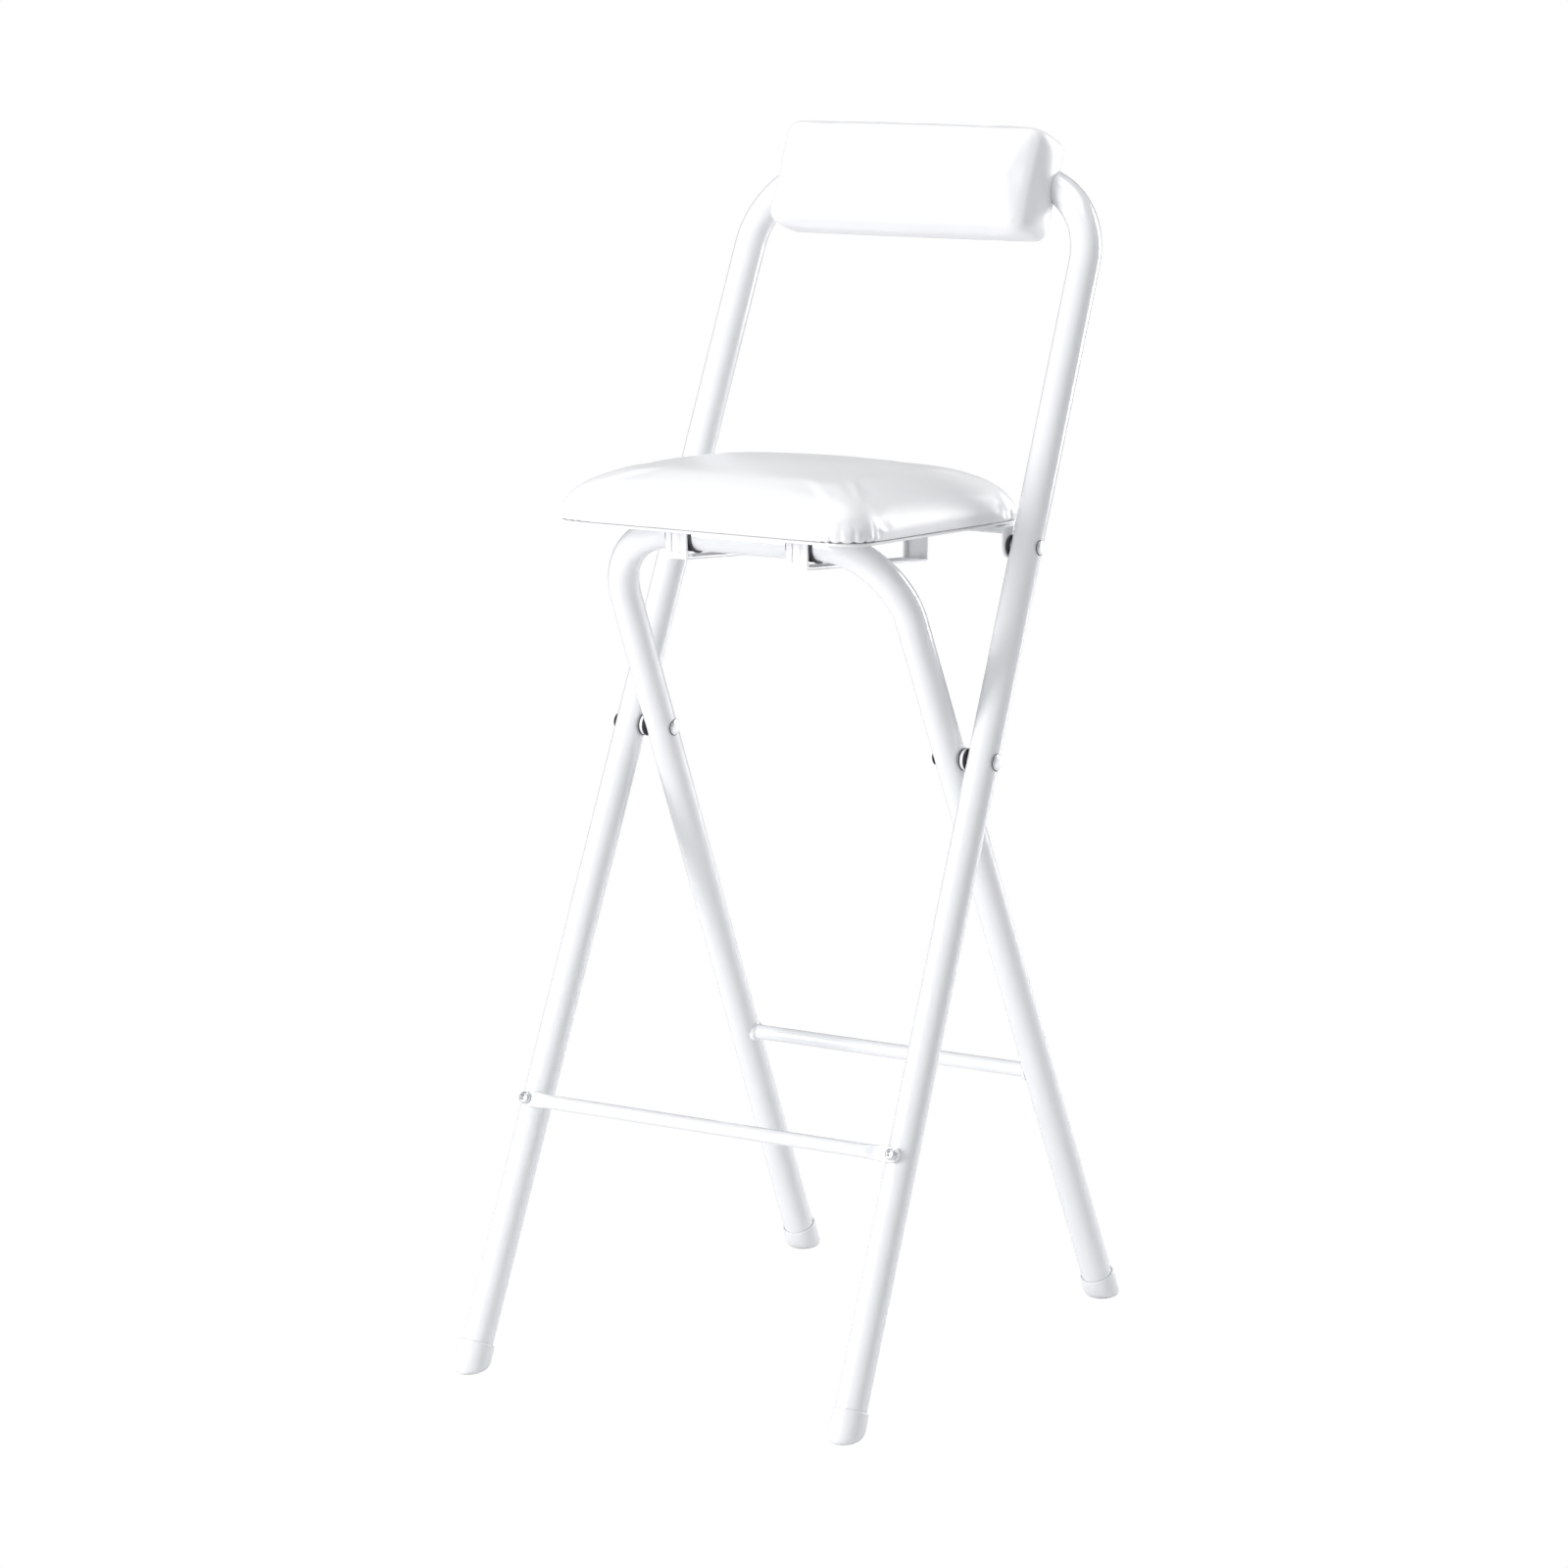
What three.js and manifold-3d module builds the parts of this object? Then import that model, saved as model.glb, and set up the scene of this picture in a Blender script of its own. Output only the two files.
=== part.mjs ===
import * as THREE from 'three';
import { mergeVertices } from 'three/addons/utils/BufferGeometryUtils.js';
import Module from 'manifold-3d';

const wasm = await Module();
wasm.setup();

// Folding bar stool, in millimetres, with the ground at z = 0 and the front towards -y.
// Two hoops of tube cross at a pair of pivots. The long one leans back and carries the backrest.
// The seat is hinged to the long hoop, and its runners slide on the top bar of the short hoop.

// Driving dimensions of the two hoops
const tubeDiameter = 25;
const tubeWall = 1.2;
const pivotHeight = 487;
const backLean = THREE.MathUtils.degToRad(24.94);
const legLean = THREE.MathUtils.degToRad(23.12);
const backHalfWidth = 167.2;
const tubeGap = 5;
const splayShare = 0.0195;
const backReach = 475;
const backBend = 69;
const legReach = 188;
const legBend = 66;
const clearance = 0.3;
const overrun = 1;

// Feet and crossbars
const footDiameter = 28.2;
const footHeight = 23.5;
const footFloor = 3;
const footRim = 1.5;
const frontCrossbarDiameter = 11.2;
const rearCrossbarDiameter = 12;
const crossbarFlat = 4;
const crossbarFlatWidth = 12;
const crossbarFlatLength = 22;
const crossbarTaper = 12;
const frontCrossbarReach = 316.8;
const rearCrossbarReach = 302.3;
const boltDiameter = 6;
const boltHead = 10;
const boltHeadHeight = 3.6;
const nutWidth = 10;
const nutHeight = 6;

// Pivots and the seat's hinge
const pinDiameter = 8;
const pinHead = 13;
const pinHeadHeight = 2.8;
const spacerDiameter = 18;
const hingeReach = 174;
const rivetDiameter = 6;
const rivetHead = 11;
const rivetHeadHeight = 2.4;
const rivetShoulder = 10;
const earThickness = 2;
const earGap = 2.1;
const studHead = 10;
const studHeadHeight = 1.5;

// Seat, with lengths measured along it from the bar of the short hoop
const seatTilt = THREE.MathUtils.degToRad(3.2);
const seatHalfWidth = 138;
const seatFront = 62;
const seatRear = 178;
const seatCorner = 21;
const panWall = 2;
const panDepth = 7.5;
const panLip = 2;
const seatBoard = 8;
const seatBoardInset = 7;
const seatPadHeight = 42.5;
const seatPadCrown = 11.5;
const seatPadOverhang = 7;
const seatPadTuck = 3;
const seatPadWaist = 5;
const seatPadShoulder = 38;
const seatPadDraw = 2;
const seatPadFullness = 1.95;
const seatPadCrownFall = 1.65;

// Runners, glides and hinge brackets
const sleeveWall = 0.6;
const glideFlange = 28.6;
const glideFlangeThickness = 1.6;
const glideOverhang = 1.9;
const barDrop = 8.1;
const runnerSlack = 2.6;
const runnerInner = 46.5;
const runnerWidth = 20;
const runnerSheet = 2;
const runnerBack = 156;
const runnerTab = 14;
const bracketSheet = 2.5;
const bracketInset = 38;
const bracketLength = 20;
const riserInset = 22;
const flangeHeight = 5;
const screwDiameter = 4;
const screwHead = 8;
const screwHeadHeight = 2;
const screwGrip = 6;

// Backrest, with heights measured along the hoop from its top bar
const cushionBelowBar = 57.5;
const cushionAboveBar = 32;
const backCushionHalfWidth = 125;
const backCushionFront = 50;
const backCushionRear = 1;
const backCushionCorner = 15;
const backBoardThickness = 17;
const backBoardInset = 8;
const backPadCrown = 6.5;
const backPadTuck = 2;
const backPadWaist = 19;
const backPadShoulder = 19.5;
const backPadDraw = 1;
const backPadFullness = 2.7;
const backPadCrownFall = 2.7;
const backScrewHalfSpacing = 55;
const backScrewGrip = 3.4;

// Numbers of flat sides and steps
const tubeSides = 20;
const bendSteps = 8;
const roundSides = 24;
const smallSides = 16;
const cornerSteps = 7;
const drawnSideSteps = 4;

// Where a pad's rings lie across its shoulder and its top, and how its corners ease inwards
const shoulderShares = [0, 0.03, 0.12, 0.27, 0.48, 0.74, 1];
const topShares = [0.35, 0.72];
const cornerEase = 0.3;

// Places that follow from the sizes above
const tubeRadius = tubeDiameter / 2;
const cushionLow = backReach - cushionBelowBar;
const cushionHigh = backReach + cushionAboveBar;
const bracketInner = seatHalfWidth - bracketInset;
const riserInner = seatHalfWidth - riserInset;
const legHalfWidth = backHalfWidth - tubeDiameter - tubeGap;
const splay = Math.atan(splayShare);
const frontReach = pivotHeight * Math.tan(backLean);
const rearReach = pivotHeight * Math.tan(legLean);
const centreShift = (frontReach - rearReach) / 2;
const sleeveRadius = tubeRadius + clearance + sleeveWall;
const runnerTop = sleeveRadius + clearance + runnerSheet;
const runnerFrontFloor = -(sleeveRadius + clearance + runnerSlack);
const runnerRearFloor = runnerFrontFloor - barDrop;
const panUnder = runnerTop + clearance;
const panTop = panUnder + panWall;
const rimBottom = panUnder - panDepth;
const boardTop = panTop + clearance + seatBoard;
const barHeight = pivotHeight + Math.cos(legLean) * legReach;
const barDepth = -Math.sin(legLean) * legReach;
const hingeHeight = pivotHeight + Math.cos(backLean) * hingeReach;
const hingeDepth = Math.sin(backLean) * hingeReach;
const hingeAlong = (hingeDepth - barDepth) * Math.cos(seatTilt)
  - (hingeHeight - barHeight) * Math.sin(seatTilt);
const hingeAbove = (hingeDepth - barDepth) * Math.sin(seatTilt)
  + (hingeHeight - barHeight) * Math.cos(seatTilt);
const hingeTubeFace = backHalfWidth - splayShare * hingeReach - tubeRadius;
const earOuter = hingeTubeFace - earGap;
const earInner = earOuter - earThickness;

const material = (color, roughness, metalness = 0) =>
  new THREE.MeshStandardMaterial({ color, roughness, metalness });
const whitePaint = material(0xf1f1ef, 0.32, 0.1);
const whiteLeather = material(0xf4f3f0, 0.5);
const whitePlastic = material(0xececea, 0.45);
const darkNylon = material(0x3a3a3c, 0.6);
const zinc = material(0xb9bbbd, 0.3, 1);
const plywood = material(0xc9a878, 0.8);

// A closed geometry as a solid that can be joined and cut
function solid(geometry) {
  const bare = geometry.clone();
  bare.deleteAttribute('normal');
  bare.deleteAttribute('uv');
  const merged = mergeVertices(bare);
  return new wasm.Manifold(new wasm.Mesh({
    numProp: 3,
    vertProperties: new Float32Array(merged.attributes.position.array),
    triVerts: new Uint32Array(merged.index.array),
  }));
}

// The first geometry with the others cut away
function cut(geometry, ...tools) {
  return fromSolid(tools.reduce((body, tool) => body.subtract(solid(tool)), solid(geometry)));
}

// All the geometries as one body
function join(...geometries) {
  const [first, ...others] = geometries;
  return fromSolid(others.reduce((body, other) => body.add(solid(other)), solid(first)));
}

function fromSolid(body) {
  const mesh = body.getMesh();
  const geometry = new THREE.BufferGeometry();
  geometry.setAttribute('position', new THREE.BufferAttribute(new Float32Array(mesh.vertProperties), 3));
  geometry.setIndex(new THREE.BufferAttribute(new Uint32Array(mesh.triVerts), 1));
  geometry.computeVertexNormals();
  return geometry;
}

// A piece drawn for the right side, or its mirror image for the left
function mirrored(geometry, side) {
  if (side > 0) return geometry;
  const flipped = geometry.clone().scale(-1, 1, 1);
  const order = flipped.index.array;
  for (let face = 0; face < order.length; face += 3) {
    [order[face], order[face + 1]] = [order[face + 1], order[face]];
  }
  flipped.computeVertexNormals();
  return flipped;
}

// A box between two corners
function block(low, high) {
  const size = high.map((value, axis) => value - low[axis]);
  const middle = high.map((value, axis) => (value + low[axis]) / 2);
  return new THREE.BoxGeometry(...size).translate(...middle);
}

// A round bar from low to high along one axis, centred on the other two
function bar(axis, low, high, diameter, centre = [0, 0, 0], sides = smallSides) {
  const geometry = new THREE.CylinderGeometry(diameter / 2, diameter / 2, high - low, sides);
  if (axis === 'x') geometry.rotateZ(Math.PI / 2);
  if (axis === 'z') geometry.rotateX(Math.PI / 2);
  const place = [...centre];
  place['xyz'.indexOf(axis)] += (low + high) / 2;
  return geometry.translate(...place);
}

// A turned piece from radius and height pairs, standing along z
function turned(profile, sides = smallSides) {
  const points = profile.map(([radius, height]) => new THREE.Vector2(radius, height));
  return new THREE.LatheGeometry(points, sides).rotateX(Math.PI / 2);
}

// A pin along z with a domed head below zero and a plain or domed far end
function headedPin(headDiameter, headHeight, shankDiameter, length, tailDiameter = 0, tailHeight = 0) {
  const edge = headHeight / 3;
  const headShare = 0.62;
  const head = headDiameter / 2;
  const shank = shankDiameter / 2;
  const profile = [
    [0, -headHeight], [head * headShare, edge - headHeight], [head, -edge], [head, 0], [shank, 0],
  ];
  if (tailDiameter > 0) {
    const tail = tailDiameter / 2;
    profile.push([shank, length], [tail, length], [tail, length + tailHeight / 2]);
    profile.push([tail * headShare, length + tailHeight], [0, length + tailHeight]);
  } else {
    profile.push([shank, length], [0, length]);
  }
  return turned(profile);
}

// A path through chosen stations, so that straight stretches take one step
class StationPath extends THREE.Curve {
  constructor(stations) {
    super();
    this.stations = stations;
  }

  getPoint(share, target = new THREE.Vector3()) {
    const place = share * (this.stations.length - 1);
    const first = Math.min(Math.floor(place), this.stations.length - 2);
    return target.lerpVectors(this.stations[first], this.stations[first + 1], place - first);
  }

  getPointAt(share, target) {
    return this.getPoint(share, target);
  }

  getTangentAt(share, target = new THREE.Vector3()) {
    const last = this.stations.length - 1;
    const near = Math.round(share * last);
    const before = this.stations[Math.max(near - 1, 0)];
    const after = this.stations[Math.min(near + 1, last)];
    const here = this.stations[near];
    const into = here.clone().sub(before).normalize();
    const out = after.clone().sub(here).normalize();
    return target.copy(into).add(out).normalize();
  }
}

// The centre line of a hoop in its own plane: up one leg, over the top bar and down the other
function hoopStations(halfWidth, reach, bend, footEnd) {
  const lean = Math.hypot(1, splayShare);
  const bendHeight = reach - bend;
  const bendCentre = halfWidth - splayShare * bendHeight - bend * lean;
  const right = [new THREE.Vector3(halfWidth + splayShare * footEnd, 0, -footEnd)];
  for (let step = 0; step <= bendSteps; step += 1) {
    const angle = splay + (Math.PI / 2 - splay) * (step / bendSteps);
    right.push(new THREE.Vector3(
      bendCentre + bend * Math.cos(angle), 0, bendHeight + bend * Math.sin(angle)));
  }
  const left = right.map((point) => new THREE.Vector3(-point.x, 0, point.z));
  return [...left, ...right.reverse()];
}

function hoopTube(halfWidth, reach, bend, footEnd) {
  const section = new THREE.Shape().absarc(0, 0, tubeRadius, 0, 2 * Math.PI);
  section.holes.push(new THREE.Path().absarc(0, 0, tubeRadius - tubeWall, 0, 2 * Math.PI));
  const stations = hoopStations(halfWidth, reach, bend, footEnd);
  return new THREE.ExtrudeGeometry(section, {
    steps: stations.length - 1,
    curveSegments: tubeSides / 2,
    extrudePath: new StationPath(stations),
  });
}

// Half the width between a hoop's tube centres at a place along its legs
const halfWidthAt = (halfWidth, along) => halfWidth - splayShare * along;

// The space below the ground, in the own frame of a hoop turned by that angle about x
function underGround(turn) {
  const reach = 2 * (frontReach + rearReach);
  return block([-reach, -reach, -reach], [reach, reach, 0])
    .translate(0, 0, -pivotHeight).rotateX(-turn);
}

// Where a leg's tube stops above the floor of its foot cap
const tubeEnd = (lean) =>
  (pivotHeight - footFloor - clearance - tubeRadius * Math.sin(lean)) / Math.cos(lean);

// A foot cap over the end of a leg, cut level with the ground
function footCap(side, halfWidth, turn) {
  const lean = Math.abs(turn);
  const ground = pivotHeight / Math.cos(lean);
  const end = tubeEnd(lean);
  const low = -(ground + footDiameter);
  const high = -(ground - footHeight);
  const radius = footDiameter / 2;
  const bore = tubeRadius + clearance;
  const cap = turned([
    [0, low], [radius, low], [radius, high - footRim], [radius - footRim / 2, high],
    [bore, high], [bore, -end - clearance], [0, -end - clearance],
  ], roundSides);
  const placed = cap.rotateY(-side * splay).translate(side * halfWidth, 0, 0);
  return cut(placed, underGround(turn));
}

// A crossbar with flattened ends, along x
function flattenedBar(half) {
  const round = frontCrossbarDiameter / 2;
  const stations = [
    [-half, crossbarFlatWidth / 2, crossbarFlat / 2],
    [-half + crossbarFlatLength, crossbarFlatWidth / 2, crossbarFlat / 2],
    [-half + crossbarFlatLength + crossbarTaper, round, round],
  ];
  const farStations = stations.map(([x, tall, deep]) => [-x, tall, deep]).reverse();
  const rings = [...stations, ...farStations].map(([x, tall, deep]) => {
    const ring = [];
    for (let side = 0; side < smallSides; side += 1) {
      const angle = 2 * Math.PI * (side + 1 / 2) / smallSides;
      const squareShare = deep < tall ? 0.4 : 1;
      const squared = (value) => Math.sign(value) * Math.abs(value) ** squareShare;
      ring.push(new THREE.Vector3(x, deep * squared(Math.cos(angle)), tall * squared(Math.sin(angle))));
    }
    return ring;
  });
  return skin(rings);
}

// A closed skin through rings of points, with a flat fan on the first and the last
function skin(rings, firstPoint = middleOf(rings[0]), lastPoint = middleOf(rings[rings.length - 1])) {
  const count = rings[0].length;
  const points = [...rings.flat(), firstPoint, lastPoint];
  const faces = [];
  const start = points.length - 2;
  const last = (rings.length - 1) * count;
  for (let side = 0; side < count; side += 1) {
    const next = (side + 1) % count;
    for (let ring = 0; ring < rings.length - 1; ring += 1) {
      const near = ring * count;
      const far = near + count;
      faces.push(near + side, near + next, far + next, near + side, far + next, far + side);
    }
    faces.push(start, next, side);
    faces.push(start + 1, last + side, last + next);
  }
  const geometry = new THREE.BufferGeometry();
  const places = points.flatMap((point) => point.toArray());
  geometry.setAttribute('position', new THREE.Float32BufferAttribute(places, 3));
  geometry.setIndex(faces);
  geometry.computeVertexNormals();
  return geometry;
}

function middleOf(ring) {
  return ring.reduce((sum, point) => sum.add(point), new THREE.Vector3()).divideScalar(ring.length);
}

// A rounded rectangle as points, with its sides drawn in towards their middles
function outline(halfWidth, low, high, corner, draw = 0) {
  const middle = (low + high) / 2;
  const halfDepth = (high - low) / 2;
  const sideSteps = draw > 0 ? drawnSideSteps : 1;
  const points = [];
  const addSide = (from, to, inward) => {
    for (let step = 1; step < sideSteps; step += 1) {
      const share = step / sideSteps;
      const pull = draw * Math.sin(Math.PI * share);
      points.push([
        from[0] + (to[0] - from[0]) * share + inward[0] * pull,
        from[1] + (to[1] - from[1]) * share + inward[1] * pull,
      ]);
    }
  };
  const centres = [[1, -1], [1, 1], [-1, 1], [-1, -1]];
  centres.forEach(([across, along], index) => {
    const centre = [across * (halfWidth - corner), middle + along * (halfDepth - corner)];
    for (let step = 0; step <= cornerSteps; step += 1) {
      const angle = Math.PI / 2 * (index - 1 + step / cornerSteps);
      points.push([centre[0] + corner * Math.cos(angle), centre[1] + corner * Math.sin(angle)]);
    }
    const next = centres[(index + 1) % centres.length];
    const from = points[points.length - 1];
    const turn = Math.PI / 2 * index;
    const to = [
      next[0] * (halfWidth - corner) + corner * Math.cos(turn),
      middle + next[1] * (halfDepth - corner) + corner * Math.sin(turn),
    ];
    addSide(from, to, [-Math.cos(turn), -Math.sin(turn)]);
  });
  return points;
}

// A plate of a rounded outline between two heights
function plate(halfWidth, low, high, corner, bottom, top) {
  const flat = outline(halfWidth, low, high, corner);
  const ring = (height) => flat.map(([x, y]) => new THREE.Vector3(x, y, height));
  return skin([ring(bottom), ring(top)]);
}

// A padded form: a tucked skirt, a full side, a wide round shoulder and a crowned top
function pad(form) {
  const { halfWidth, low, high, corner, bottom, edge, crown, crownFall } = form;
  const { tuck, waist, shoulder, fullness, draw } = form;
  const middle = (low + high) / 2;
  const halfDepth = (high - low) / 2;
  const widest = bottom + waist;
  const rings = [];
  const crowned = (x, y, height) => {
    const across = Math.min(Math.abs(x) / halfWidth, 1);
    const along = Math.min(Math.abs(y - middle) / halfDepth, 1);
    return height + crown * (1 - across ** crownFall) * (1 - along ** crownFall);
  };
  const addRing = (inset, height, onTop) => {
    const round = corner + inset * cornerEase;
    const flat = outline(halfWidth - inset, low + inset, high - inset, round, draw);
    rings.push(flat.map(([x, y]) => new THREE.Vector3(x, y, onTop ? crowned(x, y, height) : height)));
  };
  addRing(tuck, bottom, false);
  addRing(tuck / 4, bottom + waist / 2, false);
  shoulderShares.forEach((share) => {
    const rise = (1 - (1 - share) ** fullness) ** (1 / fullness);
    addRing(shoulder * share, widest + (edge - widest) * rise, share > 0);
  });
  topShares.forEach((share) => {
    addRing(shoulder + (halfDepth - shoulder) * share, edge, true);
  });
  return skin(rings, undefined, new THREE.Vector3(0, middle, edge + crown));
}

// A straight hole across a tube, along x
const acrossTube = (side, halfWidth, along, diameter) => {
  const centre = halfWidthAt(halfWidth, along);
  const reach = tubeDiameter;
  return bar('x', -reach, reach, diameter, [side * centre, 0, along]);
};

const stool = new THREE.Group();
const backFrame = new THREE.Group();
backFrame.position.set(0, centreShift, pivotHeight);
backFrame.rotation.x = -backLean;
const legFrame = new THREE.Group();
legFrame.position.set(0, centreShift, pivotHeight);
legFrame.rotation.x = legLean;
const seat = new THREE.Group();
seat.position.set(0, centreShift + barDepth, barHeight);
seat.rotation.x = -seatTilt;
stool.add(backFrame, legFrame, seat);

function add(group, name, geometry, finish) {
  const mesh = new THREE.Mesh(geometry, finish);
  mesh.name = name;
  group.add(mesh);
}

const sides = [['left', -1], ['right', 1]];

// A pin drawn along z, turned so that its head is outermost on that side
const outward = (geometry, side) => geometry.rotateY(-side * Math.PI / 2);

// The long hoop with its holes
function backFrameTube() {
  const holes = sides.flatMap(([, side]) => [
    acrossTube(side, backHalfWidth, 0, pinDiameter + 2 * clearance),
    acrossTube(side, backHalfWidth, hingeReach, rivetDiameter + 2 * clearance),
    bar('y', -tubeDiameter, tubeDiameter, boltDiameter + 2 * clearance,
      [side * halfWidthAt(backHalfWidth, -frontCrossbarReach), 0, -frontCrossbarReach]),
    bar('y', -tubeDiameter, tubeDiameter, screwDiameter + 2 * clearance,
      [side * backScrewHalfSpacing, 0, backReach]),
  ]);
  return cut(hoopTube(backHalfWidth, backReach, backBend, tubeEnd(backLean)), ...holes);
}

// The short hoop with its pivot holes
function legFrameTube() {
  const holes = sides.map(([, side]) => acrossTube(side, legHalfWidth, 0, pinDiameter + 2 * clearance));
  return cut(hoopTube(legHalfWidth, legReach, legBend, tubeEnd(legLean)), ...holes);
}

// The front crossbar lies on the front of the legs
const crossbarOffset = tubeRadius + clearance + crossbarFlat / 2;
const crossbarBolt = halfWidthAt(backHalfWidth, -frontCrossbarReach);

function frontCrossbar() {
  const half = crossbarBolt + crossbarFlatWidth / 2;
  const holes = sides.map(([, side]) =>
    bar('y', -crossbarFlat, crossbarFlat, boltDiameter + 2 * clearance, [side * crossbarBolt, 0, 0]));
  return cut(flattenedBar(half), ...holes).translate(0, -crossbarOffset, -frontCrossbarReach);
}

function crossbarBoltPiece(side) {
  const length = crossbarFlat + tubeDiameter + 3 * clearance + nutHeight / 2;
  const bolt = headedPin(boltHead, boltHeadHeight, boltDiameter, length);
  const face = -(crossbarOffset + crossbarFlat / 2 + clearance);
  return bolt.rotateX(-Math.PI / 2).translate(side * crossbarBolt, face, -frontCrossbarReach);
}

function crossbarNut(side) {
  const hexSides = 6;
  const dome = nutHeight / 3;
  const half = nutWidth / 2;
  const profile = [[0, 0], [half, 0], [half, nutHeight - dome], [half / 2, nutHeight], [0, nutHeight]];
  const nut = turned(profile, hexSides);
  const bore = bar('z', -overrun, nutHeight / 2 + clearance, boltDiameter + 2 * clearance);
  return cut(nut, bore).rotateX(-Math.PI / 2)
    .translate(side * crossbarBolt, tubeRadius + clearance, -frontCrossbarReach);
}

// A pivot pin runs through both tubes and the spacer between them
function pivotPin(side) {
  const outer = backHalfWidth + tubeRadius + clearance;
  const inner = legHalfWidth - tubeRadius - clearance;
  const pin = headedPin(pinHead, pinHeadHeight, pinDiameter, outer - inner, pinHead, pinHeadHeight);
  return outward(pin, side).translate(side * outer, 0, 0);
}

function pivotSpacer(side) {
  const low = legHalfWidth + tubeRadius + clearance;
  const high = backHalfWidth - tubeRadius - clearance;
  const ring = bar('x', low, high, spacerDiameter, [0, 0, 0], roundSides);
  const bore = bar('x', low - overrun, high + overrun, pinDiameter + 2 * clearance);
  return mirrored(cut(ring, bore), side);
}

// The hinge rivet ends in a shoulder just short of the seat's ear
function hingeRivet(side) {
  const outer = hingeTubeFace + tubeDiameter + clearance;
  const shoulder = hingeTubeFace - clearance;
  const end = earOuter + clearance;
  const pin = headedPin(rivetHead, rivetHeadHeight, rivetDiameter, outer - shoulder);
  const disc = bar('z', outer - shoulder, outer - end, rivetShoulder);
  return outward(join(pin, disc), side).translate(side * outer, 0, hingeReach);
}

// The backrest's board, with a groove for the hoop's top bar
function backBoard() {
  const body = plate(backCushionHalfWidth - backBoardInset, cushionLow + backBoardInset,
    cushionHigh - backBoardInset, backCushionCorner - backBoardInset,
    -backCushionRear, backBoardThickness - backCushionRear);
  const faced = body.rotateX(Math.PI / 2);
  const holes = sides.map(([, side]) => bar('y', -backBoardThickness, 0, screwDiameter + 2 * clearance,
    [side * backScrewHalfSpacing, overrun, backReach]));
  return cut(faced, barGroove(), ...holes);
}

// The room that the top bar and its bends take in the backrest
function barGroove() {
  const section = new THREE.Shape().absarc(0, 0, tubeRadius + clearance, 0, 2 * Math.PI);
  const stations = hoopStations(backHalfWidth, backReach, backBend, 0);
  return new THREE.ExtrudeGeometry(section, {
    steps: stations.length - 1,
    curveSegments: tubeSides / 2,
    extrudePath: new StationPath(stations),
  });
}

function backCushion() {
  const form = pad({
    halfWidth: backCushionHalfWidth,
    low: cushionLow,
    high: cushionHigh,
    corner: backCushionCorner,
    bottom: -backCushionRear,
    edge: backCushionFront - backPadCrown,
    crown: backPadCrown,
    crownFall: backPadCrownFall,
    tuck: backPadTuck,
    waist: backPadWaist,
    shoulder: backPadShoulder,
    fullness: backPadFullness,
    draw: backPadDraw,
  }).rotateX(Math.PI / 2);
  const inset = backBoardInset - clearance;
  const room = plate(backCushionHalfWidth - inset, cushionLow + inset, cushionHigh - inset,
    backCushionCorner - inset, -backCushionRear - overrun,
    backBoardThickness - backCushionRear + clearance).rotateX(Math.PI / 2);
  return cut(form, room, barGroove());
}

function backScrew(side) {
  const length = tubeDiameter + 2 * clearance + backScrewGrip;
  const screw = headedPin(screwHead, screwHeadHeight, screwDiameter, length);
  return screw.rotateX(Math.PI / 2).translate(side * backScrewHalfSpacing, tubeRadius + clearance, backReach);
}

// The rear crossbar is welded between the inner faces of the legs
function rearCrossbar() {
  const half = halfWidthAt(legHalfWidth, -rearCrossbarReach) - tubeRadius - clearance;
  return bar('x', -half, half, rearCrossbarDiameter, [0, 0, -rearCrossbarReach]);
}

// A glide is a thin sleeve with a flange on each side of its runner
function glide(side) {
  const low = runnerInner - glideOverhang;
  const high = runnerInner + runnerWidth + glideOverhang;
  const body = bar('x', low, high, 2 * sleeveRadius, [0, 0, 0], roundSides);
  const flange = (from, to) => bar('x', from, to, glideFlange, [0, 0, 0], roundSides);
  const bore = bar('x', low - overrun, high + overrun, tubeDiameter + 2 * clearance, [0, 0, 0], roundSides);
  const inner = flange(low, low + glideFlangeThickness);
  const outer = flange(high - glideFlangeThickness, high);
  return mirrored(cut(join(body, inner, outer), bore), side);
}

// The tray under the seat, with a turned-down rim and a small lip
function seatPan() {
  const outer = plate(seatHalfWidth, -seatFront, seatRear, seatCorner, rimBottom, panTop);
  const lip = plate(seatHalfWidth + panLip, -seatFront - panLip, seatRear + panLip, seatCorner + panLip,
    rimBottom, rimBottom + panWall);
  const hollow = plate(seatHalfWidth - panWall, -seatFront + panWall, seatRear - panWall,
    seatCorner - panWall, rimBottom - overrun, panUnder);
  return cut(join(outer, lip), hollow, ...screwHoles());
}

// Where each screw goes up into the seat's board
const runnerFront = -(sleeveRadius + clearance);
const runnerMiddle = runnerInner + runnerWidth / 2;
const runnerSeat = runnerTop - runnerSheet;
const bracketMiddle = bracketInner + screwHead;
const bracketSeat = panUnder - clearance - bracketSheet;
const screwPlaces = {
  runner_screw_front: [runnerMiddle, runnerFront - runnerSheet - runnerTab / 2, runnerSeat],
  runner_screw_rear: [runnerMiddle, runnerBack + runnerSheet + runnerTab / 2, runnerSeat],
  bracket_screw_front: [bracketMiddle, hingeAlong - bracketLength / 4, bracketSeat],
  bracket_screw_rear: [bracketMiddle, hingeAlong + bracketLength / 4, bracketSeat],
};

function screwHoles() {
  const top = panTop + screwGrip + 2 * clearance;
  return Object.values(screwPlaces).flatMap(([x, y, z]) => sides.map(([, side]) =>
    bar('z', z - overrun, top, screwDiameter + 2 * clearance, [side * x, y, 0])));
}

function seatScrew([x, y, z], side) {
  const length = panTop + clearance + screwGrip - z + clearance;
  return headedPin(screwHead, screwHeadHeight, screwDiameter, length).translate(side * x, y, z - clearance);
}

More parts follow.
